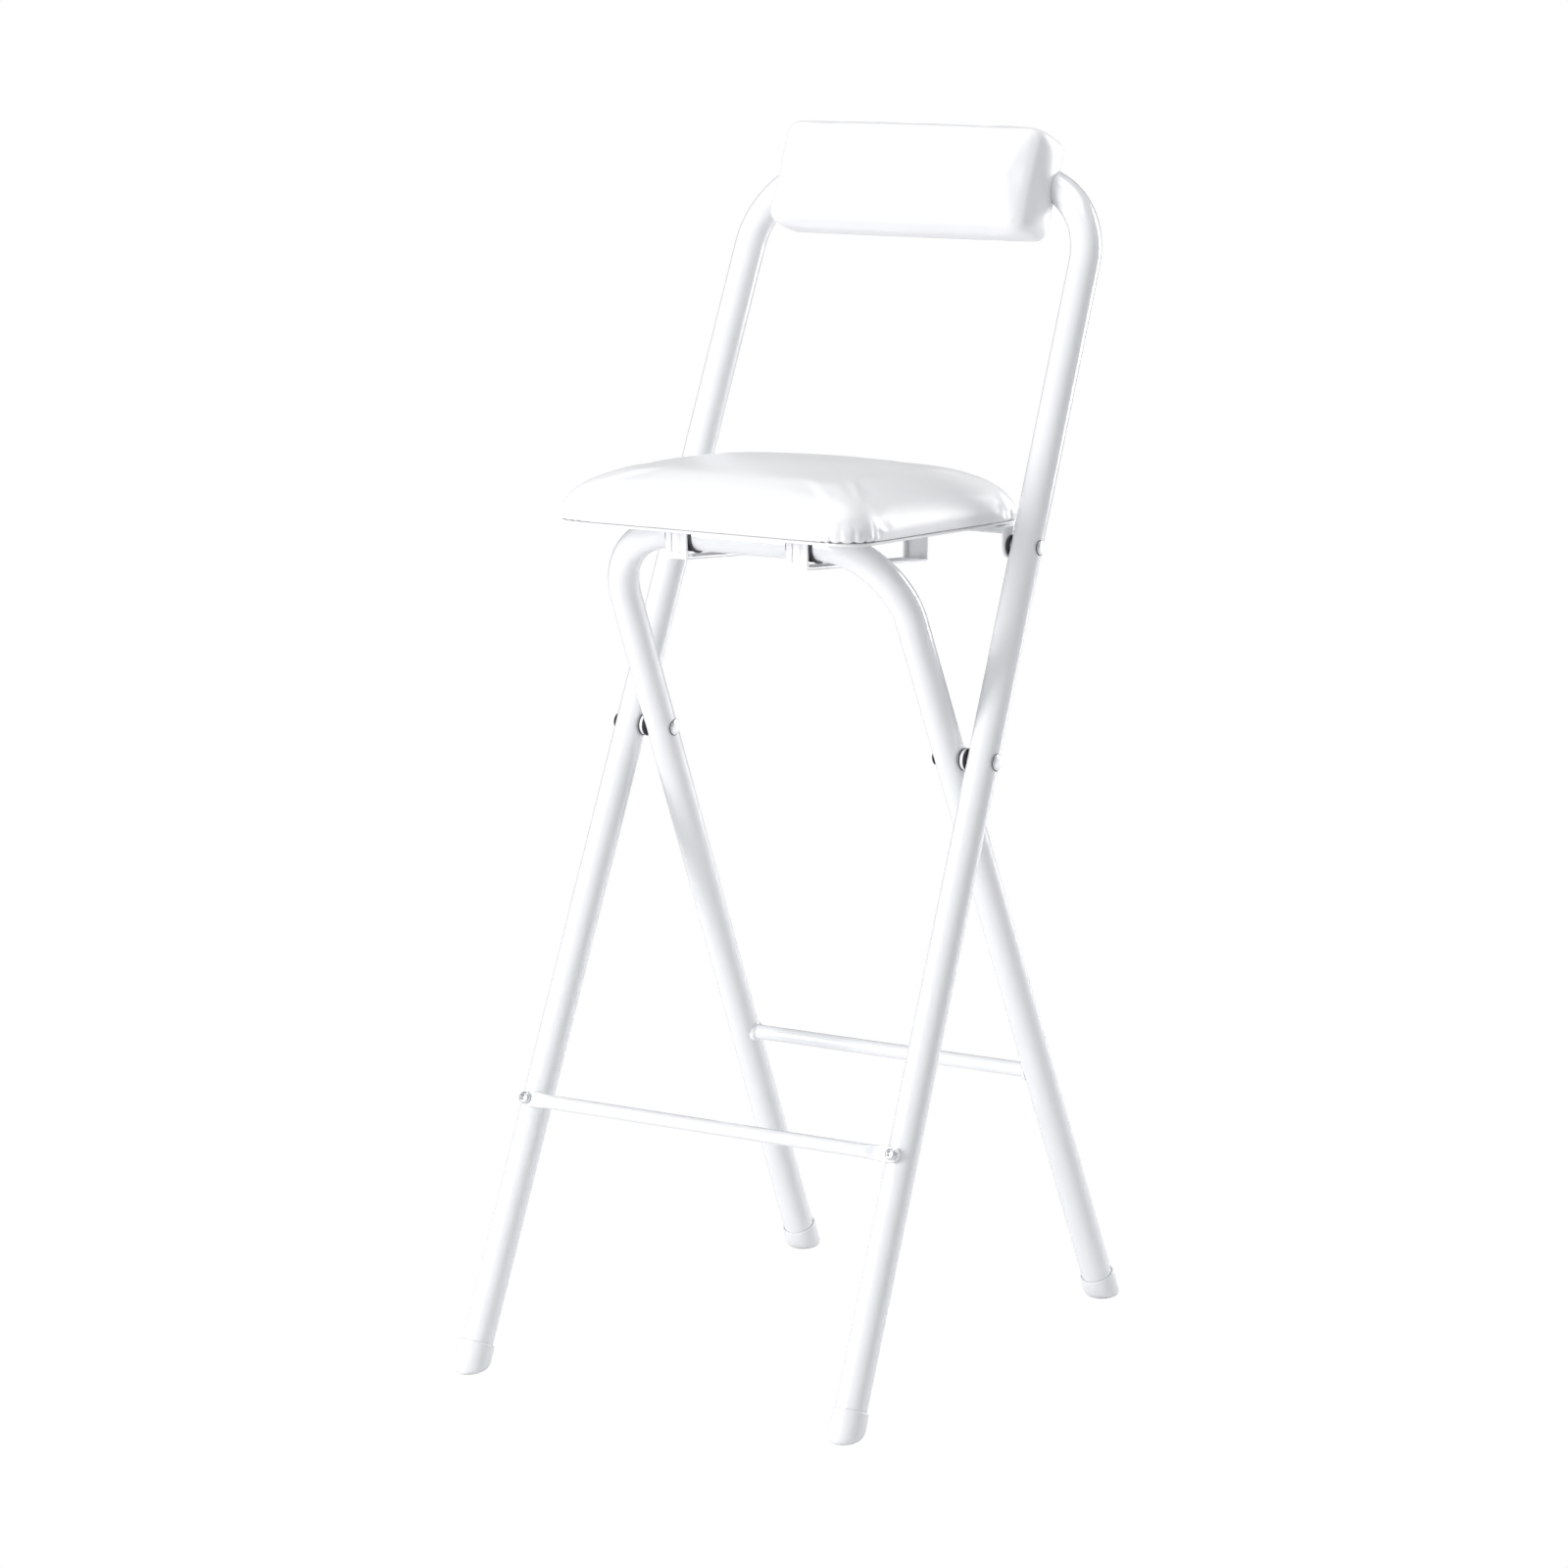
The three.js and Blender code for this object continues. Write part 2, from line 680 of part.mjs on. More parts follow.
function seatBoardPiece() {
  const body = plate(seatHalfWidth - seatBoardInset, -seatFront + seatBoardInset,
    seatRear - seatBoardInset, seatCorner - seatBoardInset, panTop + clearance, boardTop);
  return cut(body, ...screwHoles());
}

// The seat's pad wraps the board and the rim, and its skirt ends on the rim's lip
function seatCushion() {
  const bottom = rimBottom + panWall + clearance;
  const form = pad({
    halfWidth: seatHalfWidth + seatPadOverhang,
    low: -seatFront - seatPadOverhang,
    high: seatRear + seatPadOverhang,
    corner: seatCorner + seatPadTuck,
    bottom,
    edge: panTop + seatPadHeight - seatPadCrown,
    crown: seatPadCrown,
    crownFall: seatPadCrownFall,
    tuck: seatPadTuck,
    waist: seatPadWaist,
    shoulder: seatPadShoulder,
    fullness: seatPadFullness,
    draw: seatPadDraw,
  });
  const panRoom = plate(seatHalfWidth + clearance, -seatFront - clearance, seatRear + clearance,
    seatCorner + clearance, bottom - overrun, panTop + clearance);
  const inset = seatBoardInset - clearance;
  const boardRoom = plate(seatHalfWidth - inset, -seatFront + inset, seatRear - inset,
    seatCorner - inset, panUnder, boardTop + clearance);
  return cut(form, panRoom, boardRoom);
}

// A slab along x whose side is a four-cornered outline with a sloping floor
function slopedSlab(low, high, front, back, drop, top) {
  const across = (x) => [
    new THREE.Vector3(x, front, runnerFloorAt(front) - drop),
    new THREE.Vector3(x, back, runnerFloorAt(back) - drop),
    new THREE.Vector3(x, back, top),
    new THREE.Vector3(x, front, top),
  ];
  return skin([across(low), across(high)]);
}

// The height of the floor on which a glide's sleeve runs
function runnerFloorAt(along) {
  const share = (along - runnerFront) / (runnerBack - runnerFront);
  return runnerFrontFloor + (runnerRearFloor - runnerFrontFloor) * share;
}

// A runner is one strip bent into a long loop, with a screw tab at each end and a rear gusset
function runner(side) {
  const low = runnerInner;
  const high = runnerInner + runnerWidth;
  const front = runnerFront - runnerSheet;
  const back = runnerBack + runnerSheet;
  const loop = slopedSlab(low, high, front, back, runnerSheet, runnerTop);
  const hollow = slopedSlab(low - overrun, high + overrun, runnerFront, runnerBack, 0,
    runnerTop - runnerSheet);
  const strip = block([low, front - runnerTab, runnerTop - runnerSheet], [high, back + runnerTab, runnerTop]);
  const gussetStart = runnerBack - (runnerBack - hingeAlong) / 2;
  const gusset = slopedSlab(low, low + runnerSheet, gussetStart, back, runnerSheet, runnerTop);
  const whole = join(cut(loop, hollow), strip, gusset);
  const holes = [screwPlaces.runner_screw_front, screwPlaces.runner_screw_rear].map(([x, y, z]) =>
    bar('z', z - overrun, runnerTop + overrun, screwDiameter + 2 * clearance, [x, y, 0]));
  return mirrored(cut(whole, ...holes), side);
}

// A hinge bracket: a plate on the pan, an arm that steps down under the rim, and an ear beside the tube
function hingeBracket(side) {
  const low = hingeAlong - bracketLength / 2;
  const high = hingeAlong + bracketLength / 2;
  const top = panUnder - clearance;
  const armTop = rimBottom - clearance;
  const foot = block([bracketInner, low, top - bracketSheet], [riserInner + bracketSheet, high, top]);
  const riser = block([riserInner, low, armTop - bracketSheet], [riserInner + bracketSheet, high, top]);
  const arm = block([riserInner, low, armTop - bracketSheet], [earOuter, high, armTop]);
  const flange = block([riserInner, low, armTop - flangeHeight], [earOuter, low + earThickness, armTop]);
  const ear = block([earInner, low, hingeAbove], [earOuter, high, armTop]);
  const earEnd = bar('x', earInner, earOuter, bracketLength, [0, hingeAlong, hingeAbove], roundSides);
  const bore = bar('x', earInner - overrun, earOuter + overrun, rivetDiameter + 2 * clearance,
    [0, hingeAlong, hingeAbove]);
  const holes = [screwPlaces.bracket_screw_front, screwPlaces.bracket_screw_rear].map(([x, y, z]) =>
    bar('z', z - overrun, top + overrun, screwDiameter + 2 * clearance, [x, y, 0]));
  return mirrored(cut(join(foot, riser, arm, flange, ear, earEnd), bore, ...holes), side);
}

// The rivet's tail, held in the ear
function hingeStud(side) {
  const head = earInner - clearance;
  const stud = headedPin(studHead, studHeadHeight, rivetDiameter, earThickness + clearance);
  return mirrored(stud.rotateY(Math.PI / 2).translate(head, hingeAlong, hingeAbove), side);
}

add(backFrame, 'back_frame_tube', backFrameTube(), whitePaint);
add(backFrame, 'front_crossbar', frontCrossbar(), whitePaint);
add(backFrame, 'back_board', backBoard(), plywood);
add(backFrame, 'back_cushion', backCushion(), whiteLeather);
add(legFrame, 'leg_frame_tube', legFrameTube(), whitePaint);
add(legFrame, 'rear_crossbar', rearCrossbar(), whitePaint);
add(seat, 'seat_pan', seatPan(), whitePaint);
add(seat, 'seat_board', seatBoardPiece(), plywood);
add(seat, 'seat_cushion', seatCushion(), whiteLeather);
sides.forEach(([word, side]) => {
  add(backFrame, `front_foot_${word}`, footCap(side, backHalfWidth, -backLean), whitePlastic);
  add(backFrame, `crossbar_bolt_${word}`, crossbarBoltPiece(side), zinc);
  add(backFrame, `crossbar_nut_${word}`, crossbarNut(side), zinc);
  add(backFrame, `back_screw_${word}`, backScrew(side), zinc);
  add(backFrame, `pivot_pin_${word}`, pivotPin(side), zinc);
  add(backFrame, `pivot_spacer_${word}`, pivotSpacer(side), whitePlastic);
  add(backFrame, `hinge_rivet_${word}`, hingeRivet(side), zinc);
  add(legFrame, `rear_foot_${word}`, footCap(side, legHalfWidth, legLean), whitePlastic);
  add(seat, `glide_${word}`, glide(side), darkNylon);
  add(seat, `runner_${word}`, runner(side), whitePaint);
  add(seat, `hinge_bracket_${word}`, hingeBracket(side), whitePaint);
  add(seat, `hinge_stud_${word}`, hingeStud(side), zinc);
  Object.entries(screwPlaces).forEach(([name, place]) => {
    add(seat, `${name}_${word}`, seatScrew(place, side), zinc);
  });
});

export default stool;
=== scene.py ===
import math

import bmesh
import bpy
import numpy as np
from mathutils import Matrix, Vector


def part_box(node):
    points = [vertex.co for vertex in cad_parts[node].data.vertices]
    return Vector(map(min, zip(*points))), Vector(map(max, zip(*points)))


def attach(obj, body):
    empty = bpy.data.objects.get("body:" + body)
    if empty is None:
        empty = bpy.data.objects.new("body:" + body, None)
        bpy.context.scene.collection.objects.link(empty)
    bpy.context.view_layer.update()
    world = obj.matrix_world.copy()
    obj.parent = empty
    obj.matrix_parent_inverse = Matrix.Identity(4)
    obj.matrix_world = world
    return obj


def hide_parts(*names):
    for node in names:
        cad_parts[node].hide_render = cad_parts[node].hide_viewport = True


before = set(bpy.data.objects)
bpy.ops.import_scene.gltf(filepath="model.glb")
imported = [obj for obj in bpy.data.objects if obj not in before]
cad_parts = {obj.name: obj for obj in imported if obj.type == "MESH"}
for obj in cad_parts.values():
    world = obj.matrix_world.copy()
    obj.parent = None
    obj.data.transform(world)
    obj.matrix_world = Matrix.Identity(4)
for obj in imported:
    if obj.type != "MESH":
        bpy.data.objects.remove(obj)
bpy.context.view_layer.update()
scene = bpy.context.scene

# The folding bar stool, in metres, with the ground at z = 0 and the front towards -y.
# Driving sizes of the two hoops, as the frame has them
TUBE_RADIUS = 0.0125
PIVOT_HEIGHT = 0.487
BACK_LEAN = math.radians(24.94)
LEG_LEAN = math.radians(23.12)
BACK_HALF_WIDTH = 0.1672
LEG_HALF_WIDTH = 0.1372
SPLAY_SHARE = 0.0195
BACK_REACH = 0.475
BACK_BEND = 0.069
LEG_REACH = 0.188
LEG_BEND = 0.066
GAP = 0.0003

# Feet and crossbars
FOOT_RADIUS = 0.0141
FOOT_HEIGHT = 0.0235
FOOT_FLOOR = 0.003
FOOT_ROUNDING = 0.0065
FRONT_BAR_RADIUS = 0.0056
REAR_BAR_RADIUS = 0.006
BAR_FLAT = 0.004
BAR_FLAT_WIDTH = 0.012
BAR_FLAT_LENGTH = 0.018
BAR_TAPER = 0.014
BAR_END_TURN = math.radians(80)
FRONT_BAR_REACH = 0.3168
REAR_BAR_REACH = 0.3023
BOLT_HEAD_RADIUS = 0.005
BOLT_HEAD_HEIGHT = 0.0036
BOLT_RADIUS = 0.003
BOLT_SOCKET = 0.0022
NUT_RADIUS = 0.005
NUT_HEIGHT = 0.006
NUT_EDGE = NUT_HEIGHT / 20
NUT_DOME_RADIUS = 0.8 * NUT_RADIUS
NUT_DOME_RISE = 0.7
WELD = 0.003
WELD_FLARE = 0.8

# The rounding of a cap's lip: how far in and down each point lies, in shares of the cap's wall
LIP_ROUNDING = ((0, 0.8), (0.25, 0.25), (0.6, 0))

# Pivots and the seat's hinge
PIN_HEAD_RADIUS = 0.0062
PIN_HEAD_HEIGHT = 0.0011
PIN_RADIUS = 0.004
# The dark rings under the rivet heads and the dark washers beside the spacers and the hinge ears
# are painted shade: dark pieces that stand for the shadow outlines there.
RIVET_SHADE_RING = 0.0006
SHADE_RING_DEPTH = 0.6 * GAP
SHADE_RING_EDGE = 0.2 * SHADE_RING_DEPTH
SPACER_RADIUS = 0.0086
SPACER_EDGE = 0.0005
WASHER = 0.0007
SHADE_WASHER_RADIUS = 0.0091
SHADE_WASHER_EDGE = 0.0002
HINGE_SHADE_WASHER_RADIUS = 0.0085
HINGE_SHADE_WASHER_EDGE = 0.0003
HINGE_REACH = 0.174
RIVET_HEAD_RADIUS = 0.0055
RIVET_HEAD_HEIGHT = 0.0012
RIVET_RADIUS = 0.003
RIVET_SHOULDER = 0.005
EAR_GAP = 0.0021
EAR_THICKNESS = 0.002
STUD_HEAD_RADIUS = 0.005
STUD_HEAD_HEIGHT = 0.0015

# A head's face, in shares of its radius, and its edge and shoulder, in shares of its height.
# Its socket's depth, in shares of its height, and the socket's floor, in shares of its mouth
HEAD_FACE = 0.5
HEAD_EDGE = 0.25
HEAD_SHOULDER = 0.9
SOCKET_DEPTH = 0.8
SOCKET_FLOOR = 0.9

# Seat, with lengths along it from the bar of the short hoop
SEAT_TILT = math.radians(3.2)
SEAT_HALF_WIDTH = 0.138
SEAT_FRONT = 0.062
SEAT_REAR = 0.178
SEAT_CORNER = 0.021
RIM_BOTTOM = 0.0085
PAN_WALL = 0.002
PAN_LIP = 0.002
PAN_TOP = 0.018
PAN_UNDER = 0.016
PAN_EDGE = 0.0006
SEAT_WELT = 0.0012
WELT_REST = 0.0001
BOARD = 0.008
BOARD_INSET = 0.007
BRACKET_EDGE = 0.0005
RUNNER_INNER = 0.0465
RUNNER_WIDTH = 0.020
RUNNER_EDGE = 0.0006
RUNNER_PRESS = 0.0012
SLEEVE_RADIUS = 0.0134
GLIDE_RADIUS = 0.0143
GLIDE_FLANGE = 0.0016
GLIDE_OVERHANG = 0.0019
GLIDE_EDGE = 0.0005
SCREW_RADIUS = 0.002
SCREW_HEAD_RADIUS = 0.004
SCREW_HEAD_HEIGHT = 0.002
SCREW_GRIP = 0.006
SCREW_SOCKET = 0.0014

# The seat's cushion
SEAT_PAD_EDGE = 0.049
SEAT_PAD_CROWN = 0.0115
SEAT_PAD_CROWN_FALL = 1.65
SEAT_PAD_OVERHANG = 0.007
SEAT_PAD_CORNER = SEAT_CORNER + 0.006
SEAT_PAD_TUCK = 0.003
SEAT_PAD_WAIST = 0.005
SEAT_PAD_SHOULDER = 0.038
SEAT_PAD_FULLNESS = 1.95
SEAT_PAD_SWELL = 0.0025
SEAT_PAD_PROUD = 0.002
SEAT_PAD_HELD = 0.006
PLEAT_DEPTH = 0.0012
PLEAT_HEIGHT = 0.012

# Backrest, with heights along the hoop
BACK_LOW = 0.4175
BACK_HIGH = 0.507
BACK_HALF_LENGTH = 0.125
BACK_FRONT = 0.050
BACK_REAR = 0.001
BACK_CORNER = 0.015
BACK_BOARD = 0.017
BACK_BOARD_INSET = 0.008
BACK_BOARD_OPEN = 0.001
BACK_SCREW_SPACING = 0.055
BACK_SCREW_GRIP = 0.0034

# The backrest's cushion
BACK_PAD_CROWN = 0.0065
BACK_PAD_CROWN_FALL = 2.7
BACK_PAD_CORNER = 0.7 * BACK_CORNER
BACK_PAD_TUCK = 0.002
BACK_PAD_WAIST = 0.019
BACK_PAD_SHOULDER = 0.02535
BACK_PAD_ENDS = 0.4
BACK_PAD_FULLNESS = 3.4
BACK_PAD_SWELL = 0.0015
BACK_PAD_HELD = 0.008
BACK_PAD_ARCH = 0.0018
BACK_PAD_TAPER = 0.0032
BACK_PAD_SHIFT = Vector((-0.0028, 0, 0))
BACK_PAD_TURN = 0.010

# Numbers of sides and steps
TUBE_SIDES = 48
SMALL_SIDES = 32
WELT_SIDES = 12
BALL_RINGS = 12
NUT_FLATS = 6
BEND_STEPS = 28
CORNER_STEPS = 8
BAR_STEPS = 6
WELD_STEPS = 5
HEAD_STEPS = 6
SHOULDER_STEPS = 12
FOOT_EDGE_STEPS = 5
SMALL_EDGE_STEPS = 2

# Points nearer than these are one point
SAME = 1e-6
SAME_FINE = 1e-7

# Faces that meet at more than these angles keep a sharp edge
HARD_SHARP = math.radians(38)
SOFT_SHARP = math.radians(55)

SPLAY = math.atan(SPLAY_SHARE)
QUARTER = math.pi / 2
SIDES = (("left", -1), ("right", 1))
AS_DRAWN = Matrix.Identity(4)
FACING_BACK = Matrix.Rotation(-QUARTER, 4, "X")
FACING_FRONT = Matrix.Rotation(QUARTER, 4, "X")

centre_shift = PIVOT_HEIGHT * (math.tan(BACK_LEAN) - math.tan(LEG_LEAN)) / 2
pivot = Vector((0, centre_shift, PIVOT_HEIGHT))
slide_bar = pivot + LEG_REACH * Vector((0, -math.sin(LEG_LEAN), math.cos(LEG_LEAN)))
hinge = pivot + HINGE_REACH * Vector((0, math.sin(BACK_LEAN), math.cos(BACK_LEAN)))
BACK_PLACE = Matrix.Translation(pivot) @ Matrix.Rotation(-BACK_LEAN, 4, "X")
LEG_PLACE = Matrix.Translation(pivot) @ Matrix.Rotation(LEG_LEAN, 4, "X")
SEAT_PLACE = Matrix.Translation(slide_bar) @ Matrix.Rotation(-SEAT_TILT, 4, "X")
hinge_in_seat = SEAT_PLACE.inverted() @ hinge

# Camera
CAMERA_PLACE = Vector((2.5441, -3.7917, 1.3801))
CAMERA_AZIMUTH = math.radians(34)
CAMERA_ELEVATION = 0.2
CAMERA_ROLL = -0.0185
LENS = 135.04
SENSOR = 36
SIGHT = 100


def add_camera():
    """Stands the camera where the photograph was taken from."""
    data = bpy.data.cameras.new("camera")
    data.lens = LENS
    data.sensor_width = SENSOR
    data.clip_end = SIGHT
    camera = bpy.data.objects.new("camera", data)
    scene.collection.objects.link(camera)
    flat = math.cos(CAMERA_ELEVATION)
    back = Vector((math.sin(CAMERA_AZIMUTH) * flat, -math.cos(CAMERA_AZIMUTH) * flat,
                   math.sin(CAMERA_ELEVATION)))
    level = Vector((math.cos(CAMERA_AZIMUTH), math.sin(CAMERA_AZIMUTH), 0))
    upright = back.cross(level)
    right = level * math.cos(CAMERA_ROLL) + upright * math.sin(CAMERA_ROLL)
    up = upright * math.cos(CAMERA_ROLL) - level * math.sin(CAMERA_ROLL)
    turn = Matrix((right, up, back)).transposed().to_4x4()
    camera.matrix_world = Matrix.Translation(CAMERA_PLACE) @ turn
    scene.camera = camera


add_camera()

# Finishes
WHITE = (1, 1, 1, 1)
COLOUR = "NodeSocketColor"
NUMBER = "NodeSocketFloat"

# The part of a noise's range that most of its values lie in
NOISE_LOW = 0.3
NOISE_HIGH = 0.7


def new_group(name, inputs, outputs):
    """A shader group with its sockets, given as labels and kinds, and its two end nodes."""
    group = bpy.data.node_groups.new(name, "ShaderNodeTree")
    for way, sockets in (("INPUT", inputs), ("OUTPUT", outputs)):
        for label, kind in sockets.items():
            group.interface.new_socket(label, in_out=way, socket_type=kind)
    entry = group.nodes.new("NodeGroupInput")
    leave = group.nodes.new("NodeGroupOutput")
    return group, entry, leave


def own_place(tree):
    """Where a point lies in its piece's own coordinates, in metres."""
    return tree.nodes.new("ShaderNodeTexCoord").outputs["Object"]


def noise(tree, scale_from, detail, roughness):
    """A noise over a piece."""
    texture = tree.nodes.new("ShaderNodeTexNoise")
    texture.inputs["Detail"].default_value = detail
    texture.inputs["Roughness"].default_value = roughness
    tree.links.new(own_place(tree), texture.inputs["Vector"])
    tree.links.new(scale_from, texture.inputs["Scale"])
    return texture.outputs["Fac"]


def blend_colours(tree, share, first, second):
    """A mix of two colours, given as sockets."""
    mix = tree.nodes.new("ShaderNodeMix")
    mix.data_type = "RGBA"
    tree.links.new(share, mix.inputs["Factor"])
    tree.links.new(first, mix.inputs["A"])
    tree.links.new(second, mix.inputs["B"])
    return mix.outputs["Result"]


def spread(tree, value, low, high):
    """A noise value spread between two others, given as sockets."""
    ramp = tree.nodes.new("ShaderNodeMapRange")
    ramp.inputs["From Min"].default_value = NOISE_LOW
    ramp.inputs["From Max"].default_value = NOISE_HIGH
    tree.links.new(value, ramp.inputs["Value"])
    tree.links.new(low, ramp.inputs["To Min"])
    tree.links.new(high, ramp.inputs["To Max"])
    return ramp.outputs["Result"]


def tone_group():
    """Slow drift of colour and gloss over a finish."""
    group, entry, leave = new_group(
        "tone_drift",
        {"Light": COLOUR, "Deep": COLOUR, "Scale": NUMBER, "Gloss Low": NUMBER,
         "Gloss High": NUMBER},
        {"Color": COLOUR, "Roughness": NUMBER})
    drift = noise(group, entry.outputs["Scale"], detail=3, roughness=0.55)
    colour = blend_colours(group, drift, entry.outputs["Light"], entry.outputs["Deep"])
    gloss = spread(group, drift, entry.outputs["Gloss Low"], entry.outputs["Gloss High"])
    group.links.new(colour, leave.inputs["Color"])
    group.links.new(gloss, leave.inputs["Roughness"])
    return group


def peel_group():
    """The fine unevenness of a sprayed or moulded surface, as a height."""
    group, entry, leave = new_group("surface_peel", {"Scale": NUMBER}, {"Height": NUMBER})
    peel = noise(group, entry.outputs["Scale"], detail=2, roughness=0.5)
    group.links.new(peel, leave.inputs["Height"])
    return group


def grain_group():
    """The pebbled grain of leatherette, as a height."""
    group, entry, leave = new_group(
        "leatherette_grain", {"Scale": NUMBER, "Folds": NUMBER}, {"Height": NUMBER})
    cells = group.nodes.new("ShaderNodeTexVoronoi")
    cells.feature = "SMOOTH_F1"
    cells.inputs["Smoothness"].default_value = 0.6
    group.links.new(own_place(group), cells.inputs["Vector"])
    group.links.new(entry.outputs["Scale"], cells.inputs["Scale"])
    folds = noise(group, entry.outputs["Folds"], detail=4, roughness=0.6)
    mix = group.nodes.new("ShaderNodeMix")
    mix.inputs["Factor"].default_value = 0.35
    group.links.new(cells.outputs["Distance"], mix.inputs["A"])
    group.links.new(folds, mix.inputs["B"])
    group.links.new(mix.outputs["Result"], leave.inputs["Height"])
    return group


def ply_group():
    """The long grain of a veneer, as a colour and a height."""
    group, entry, leave = new_group(
        "ply_layers", {"Light": COLOUR, "Dark": COLOUR, "Grain": NUMBER},
        {"Color": COLOUR, "Height": NUMBER})
    stretch = group.nodes.new("ShaderNodeMapping")
    stretch.inputs["Scale"].default_value = (1, 0.08, 1)
    fibres = group.nodes.new("ShaderNodeTexNoise")
    fibres.inputs["Detail"].default_value = 6
    group.links.new(own_place(group), stretch.inputs["Vector"])
    group.links.new(stretch.outputs["Vector"], fibres.inputs["Vector"])
    group.links.new(entry.outputs["Grain"], fibres.inputs["Scale"])
    wood = fibres.outputs["Fac"]
    colour = blend_colours(group, wood, entry.outputs["Light"], entry.outputs["Dark"])
    group.links.new(colour, leave.inputs["Color"])
    group.links.new(wood, leave.inputs["Height"])
    return group


TONE = tone_group()
PEEL = peel_group()
GRAIN = grain_group()
PLY = ply_group()


def new_material(name):
    """A new material, its node tree and its surface."""
    material = bpy.data.materials.new(name)
    material.use_nodes = True
    tree = material.node_tree
    return material, tree, tree.nodes["Principled BSDF"]


def place_group(tree, group, **values):
    """Puts a group into a material's tree with its own values."""
    node = tree.nodes.new("ShaderNodeGroup")
    node.node_tree = group
    for label, value in values.items():
        node.inputs[label.replace("_", " ")].default_value = value
    return node


def add_relief(tree, surface, shape, strength, reach):
    """Turns a group's height into a bump on the surface."""
    bump = tree.nodes.new("ShaderNodeBump")
    bump.inputs["Strength"].default_value = strength
    bump.inputs["Distance"].default_value = reach
    tree.links.new(shape.outputs["Height"], bump.inputs["Height"])
    tree.links.new(bump.outputs["Normal"], surface.inputs["Normal"])


def finish(name, light, deep, gloss, drift, height, relief, **shader):
    """A finish with drifting colour and gloss, and a fine relief under them."""
    material, tree, surface = new_material(name)
    for label, value in shader.items():
        surface.inputs[label.replace("_", " ")].default_value = value
    tone = place_group(tree, TONE, Light=(*light, 1), Deep=(*deep, 1), Scale=drift,
                       Gloss_Low=gloss[0], Gloss_High=gloss[1])
    tree.links.new(tone.outputs["Color"], surface.inputs["Base Color"])
    tree.links.new(tone.outputs["Roughness"], surface.inputs["Roughness"])
    group, values = height
    add_relief(tree, surface, place_group(tree, group, **values), relief, reach=0.0005)
    return material


def plywood_finish():
    """Bare board with its grain along the seat."""
    material, tree, surface = new_material("bare_plywood")
    surface.inputs["Roughness"].default_value = 0.75
    ply = place_group(tree, PLY, Light=(0.72, 0.55, 0.36, 1), Dark=(0.45, 0.3, 0.17, 1),
                      Grain=160)
    tree.links.new(ply.outputs["Color"], surface.inputs["Base Color"])
    add_relief(tree, surface, ply, strength=0.3, reach=0.0004)
    return material


white_paint = finish(
    "white_powder_coat", light=(0.855, 0.86, 0.87), deep=(0.825, 0.83, 0.843),
    gloss=(0.2, 0.27), drift=14, height=(PEEL, {"Scale": 520}), relief=0.10,
    Specular_IOR_Level=0.5, Coat_Weight=1.0, Coat_Roughness=0.08)
white_leather = finish(
    "white_leatherette", light=(0.885, 0.885, 0.89), deep=(0.86, 0.86, 0.865),
    gloss=(0.36, 0.46), drift=9, height=(GRAIN, {"Scale": 900, "Folds": 70}), relief=0.16,
    Specular_IOR_Level=0.45, Coat_Weight=0.25, Coat_Roughness=0.25)
welt_leather = finish(
    "white_welt", light=(0.88, 0.88, 0.885), deep=(0.85, 0.85, 0.855),
    gloss=(0.4, 0.5), drift=30, height=(GRAIN, {"Scale": 1400, "Folds": 160}), relief=0.2)
white_plastic = finish(
    "white_cap_plastic", light=(0.83, 0.835, 0.84), deep=(0.80, 0.805, 0.81),
    gloss=(0.32, 0.42), drift=25, height=(PEEL, {"Scale": 900}), relief=0.08,
    Specular_IOR_Level=0.45)
zinc = finish(
    "bright_zinc", light=(0.80, 0.81, 0.82), deep=(0.68, 0.69, 0.71),
    gloss=(0.24, 0.36), drift=120, height=(PEEL, {"Scale": 1800}), relief=0.08, Metallic=1.0)
# Dark nylon: the glides' own colour, and also the colour of the dark rings and washers that are
# painted shade at the pivots and the hinge.
dark_nylon_and_painted_shade = finish(
    "dark_glide_nylon_and_painted_shade", light=(0.035, 0.036, 0.04), deep=(0.05, 0.05, 0.055),
    gloss=(0.42, 0.55), drift=60, height=(PEEL, {"Scale": 1500}), relief=0.12)
plywood = plywood_finish()


# Making pieces
def object_of(bm, name):
    """An object from a bmesh."""
    bmesh.ops.recalc_face_normals(bm, faces=bm.faces)
    mesh = bpy.data.meshes.new(name)
    bm.to_mesh(mesh)
    bm.free()
    piece = bpy.data.objects.new(name, mesh)
    scene.collection.objects.link(piece)
    return piece


def settle(piece, material, body, *nodes):
    """Puts a piece on its body and in the place of its nodes."""
    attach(piece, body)
    if nodes:
        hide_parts(*nodes)


def finished(bm, name, place, material, body, *nodes):
    """Turns a bmesh into a piece at its place, which rides on a body."""
    bmesh.ops.transform(bm, matrix=place, verts=bm.verts)
    bmesh.ops.remove_doubles(bm, verts=bm.verts, dist=SAME)
    piece = object_of(bm, name)
    piece.data.shade_smooth()
    piece.data.set_sharp_from_angle(angle=HARD_SHARP)
    piece.data.materials.append(material)
    settle(piece, material, body, *nodes)


def everything(bm):
    """All points, edges and faces of a bmesh."""
    return bm.verts[:] + bm.edges[:] + bm.faces[:]


def ring_of_tube(bm, radius, sides, centre):
    """An open ring of edges about the x axis, where a tube starts."""
    ring = bmesh.ops.create_circle(bm, radius=radius, segments=sides)["verts"]
    bmesh.ops.rotate(bm, verts=ring, cent=(0, 0, 0), matrix=Matrix.Rotation(QUARTER, 3, "Y"))
    bmesh.ops.translate(bm, verts=ring, vec=centre)
    return list({edge for vert in ring for edge in vert.link_edges})


def edges_in(geometry, verts=None):
    """The edges of an operator's result, or only those between the given points."""
    edges = [part for part in geometry if isinstance(part, bmesh.types.BMEdge)]
    if verts is None:
        return edges
    return [edge for edge in edges if all(vert in verts for vert in edge.verts)]


def points_of(edges):
    """The points that edges run between, each once."""
    return list({vert for edge in edges for vert in edge.verts})


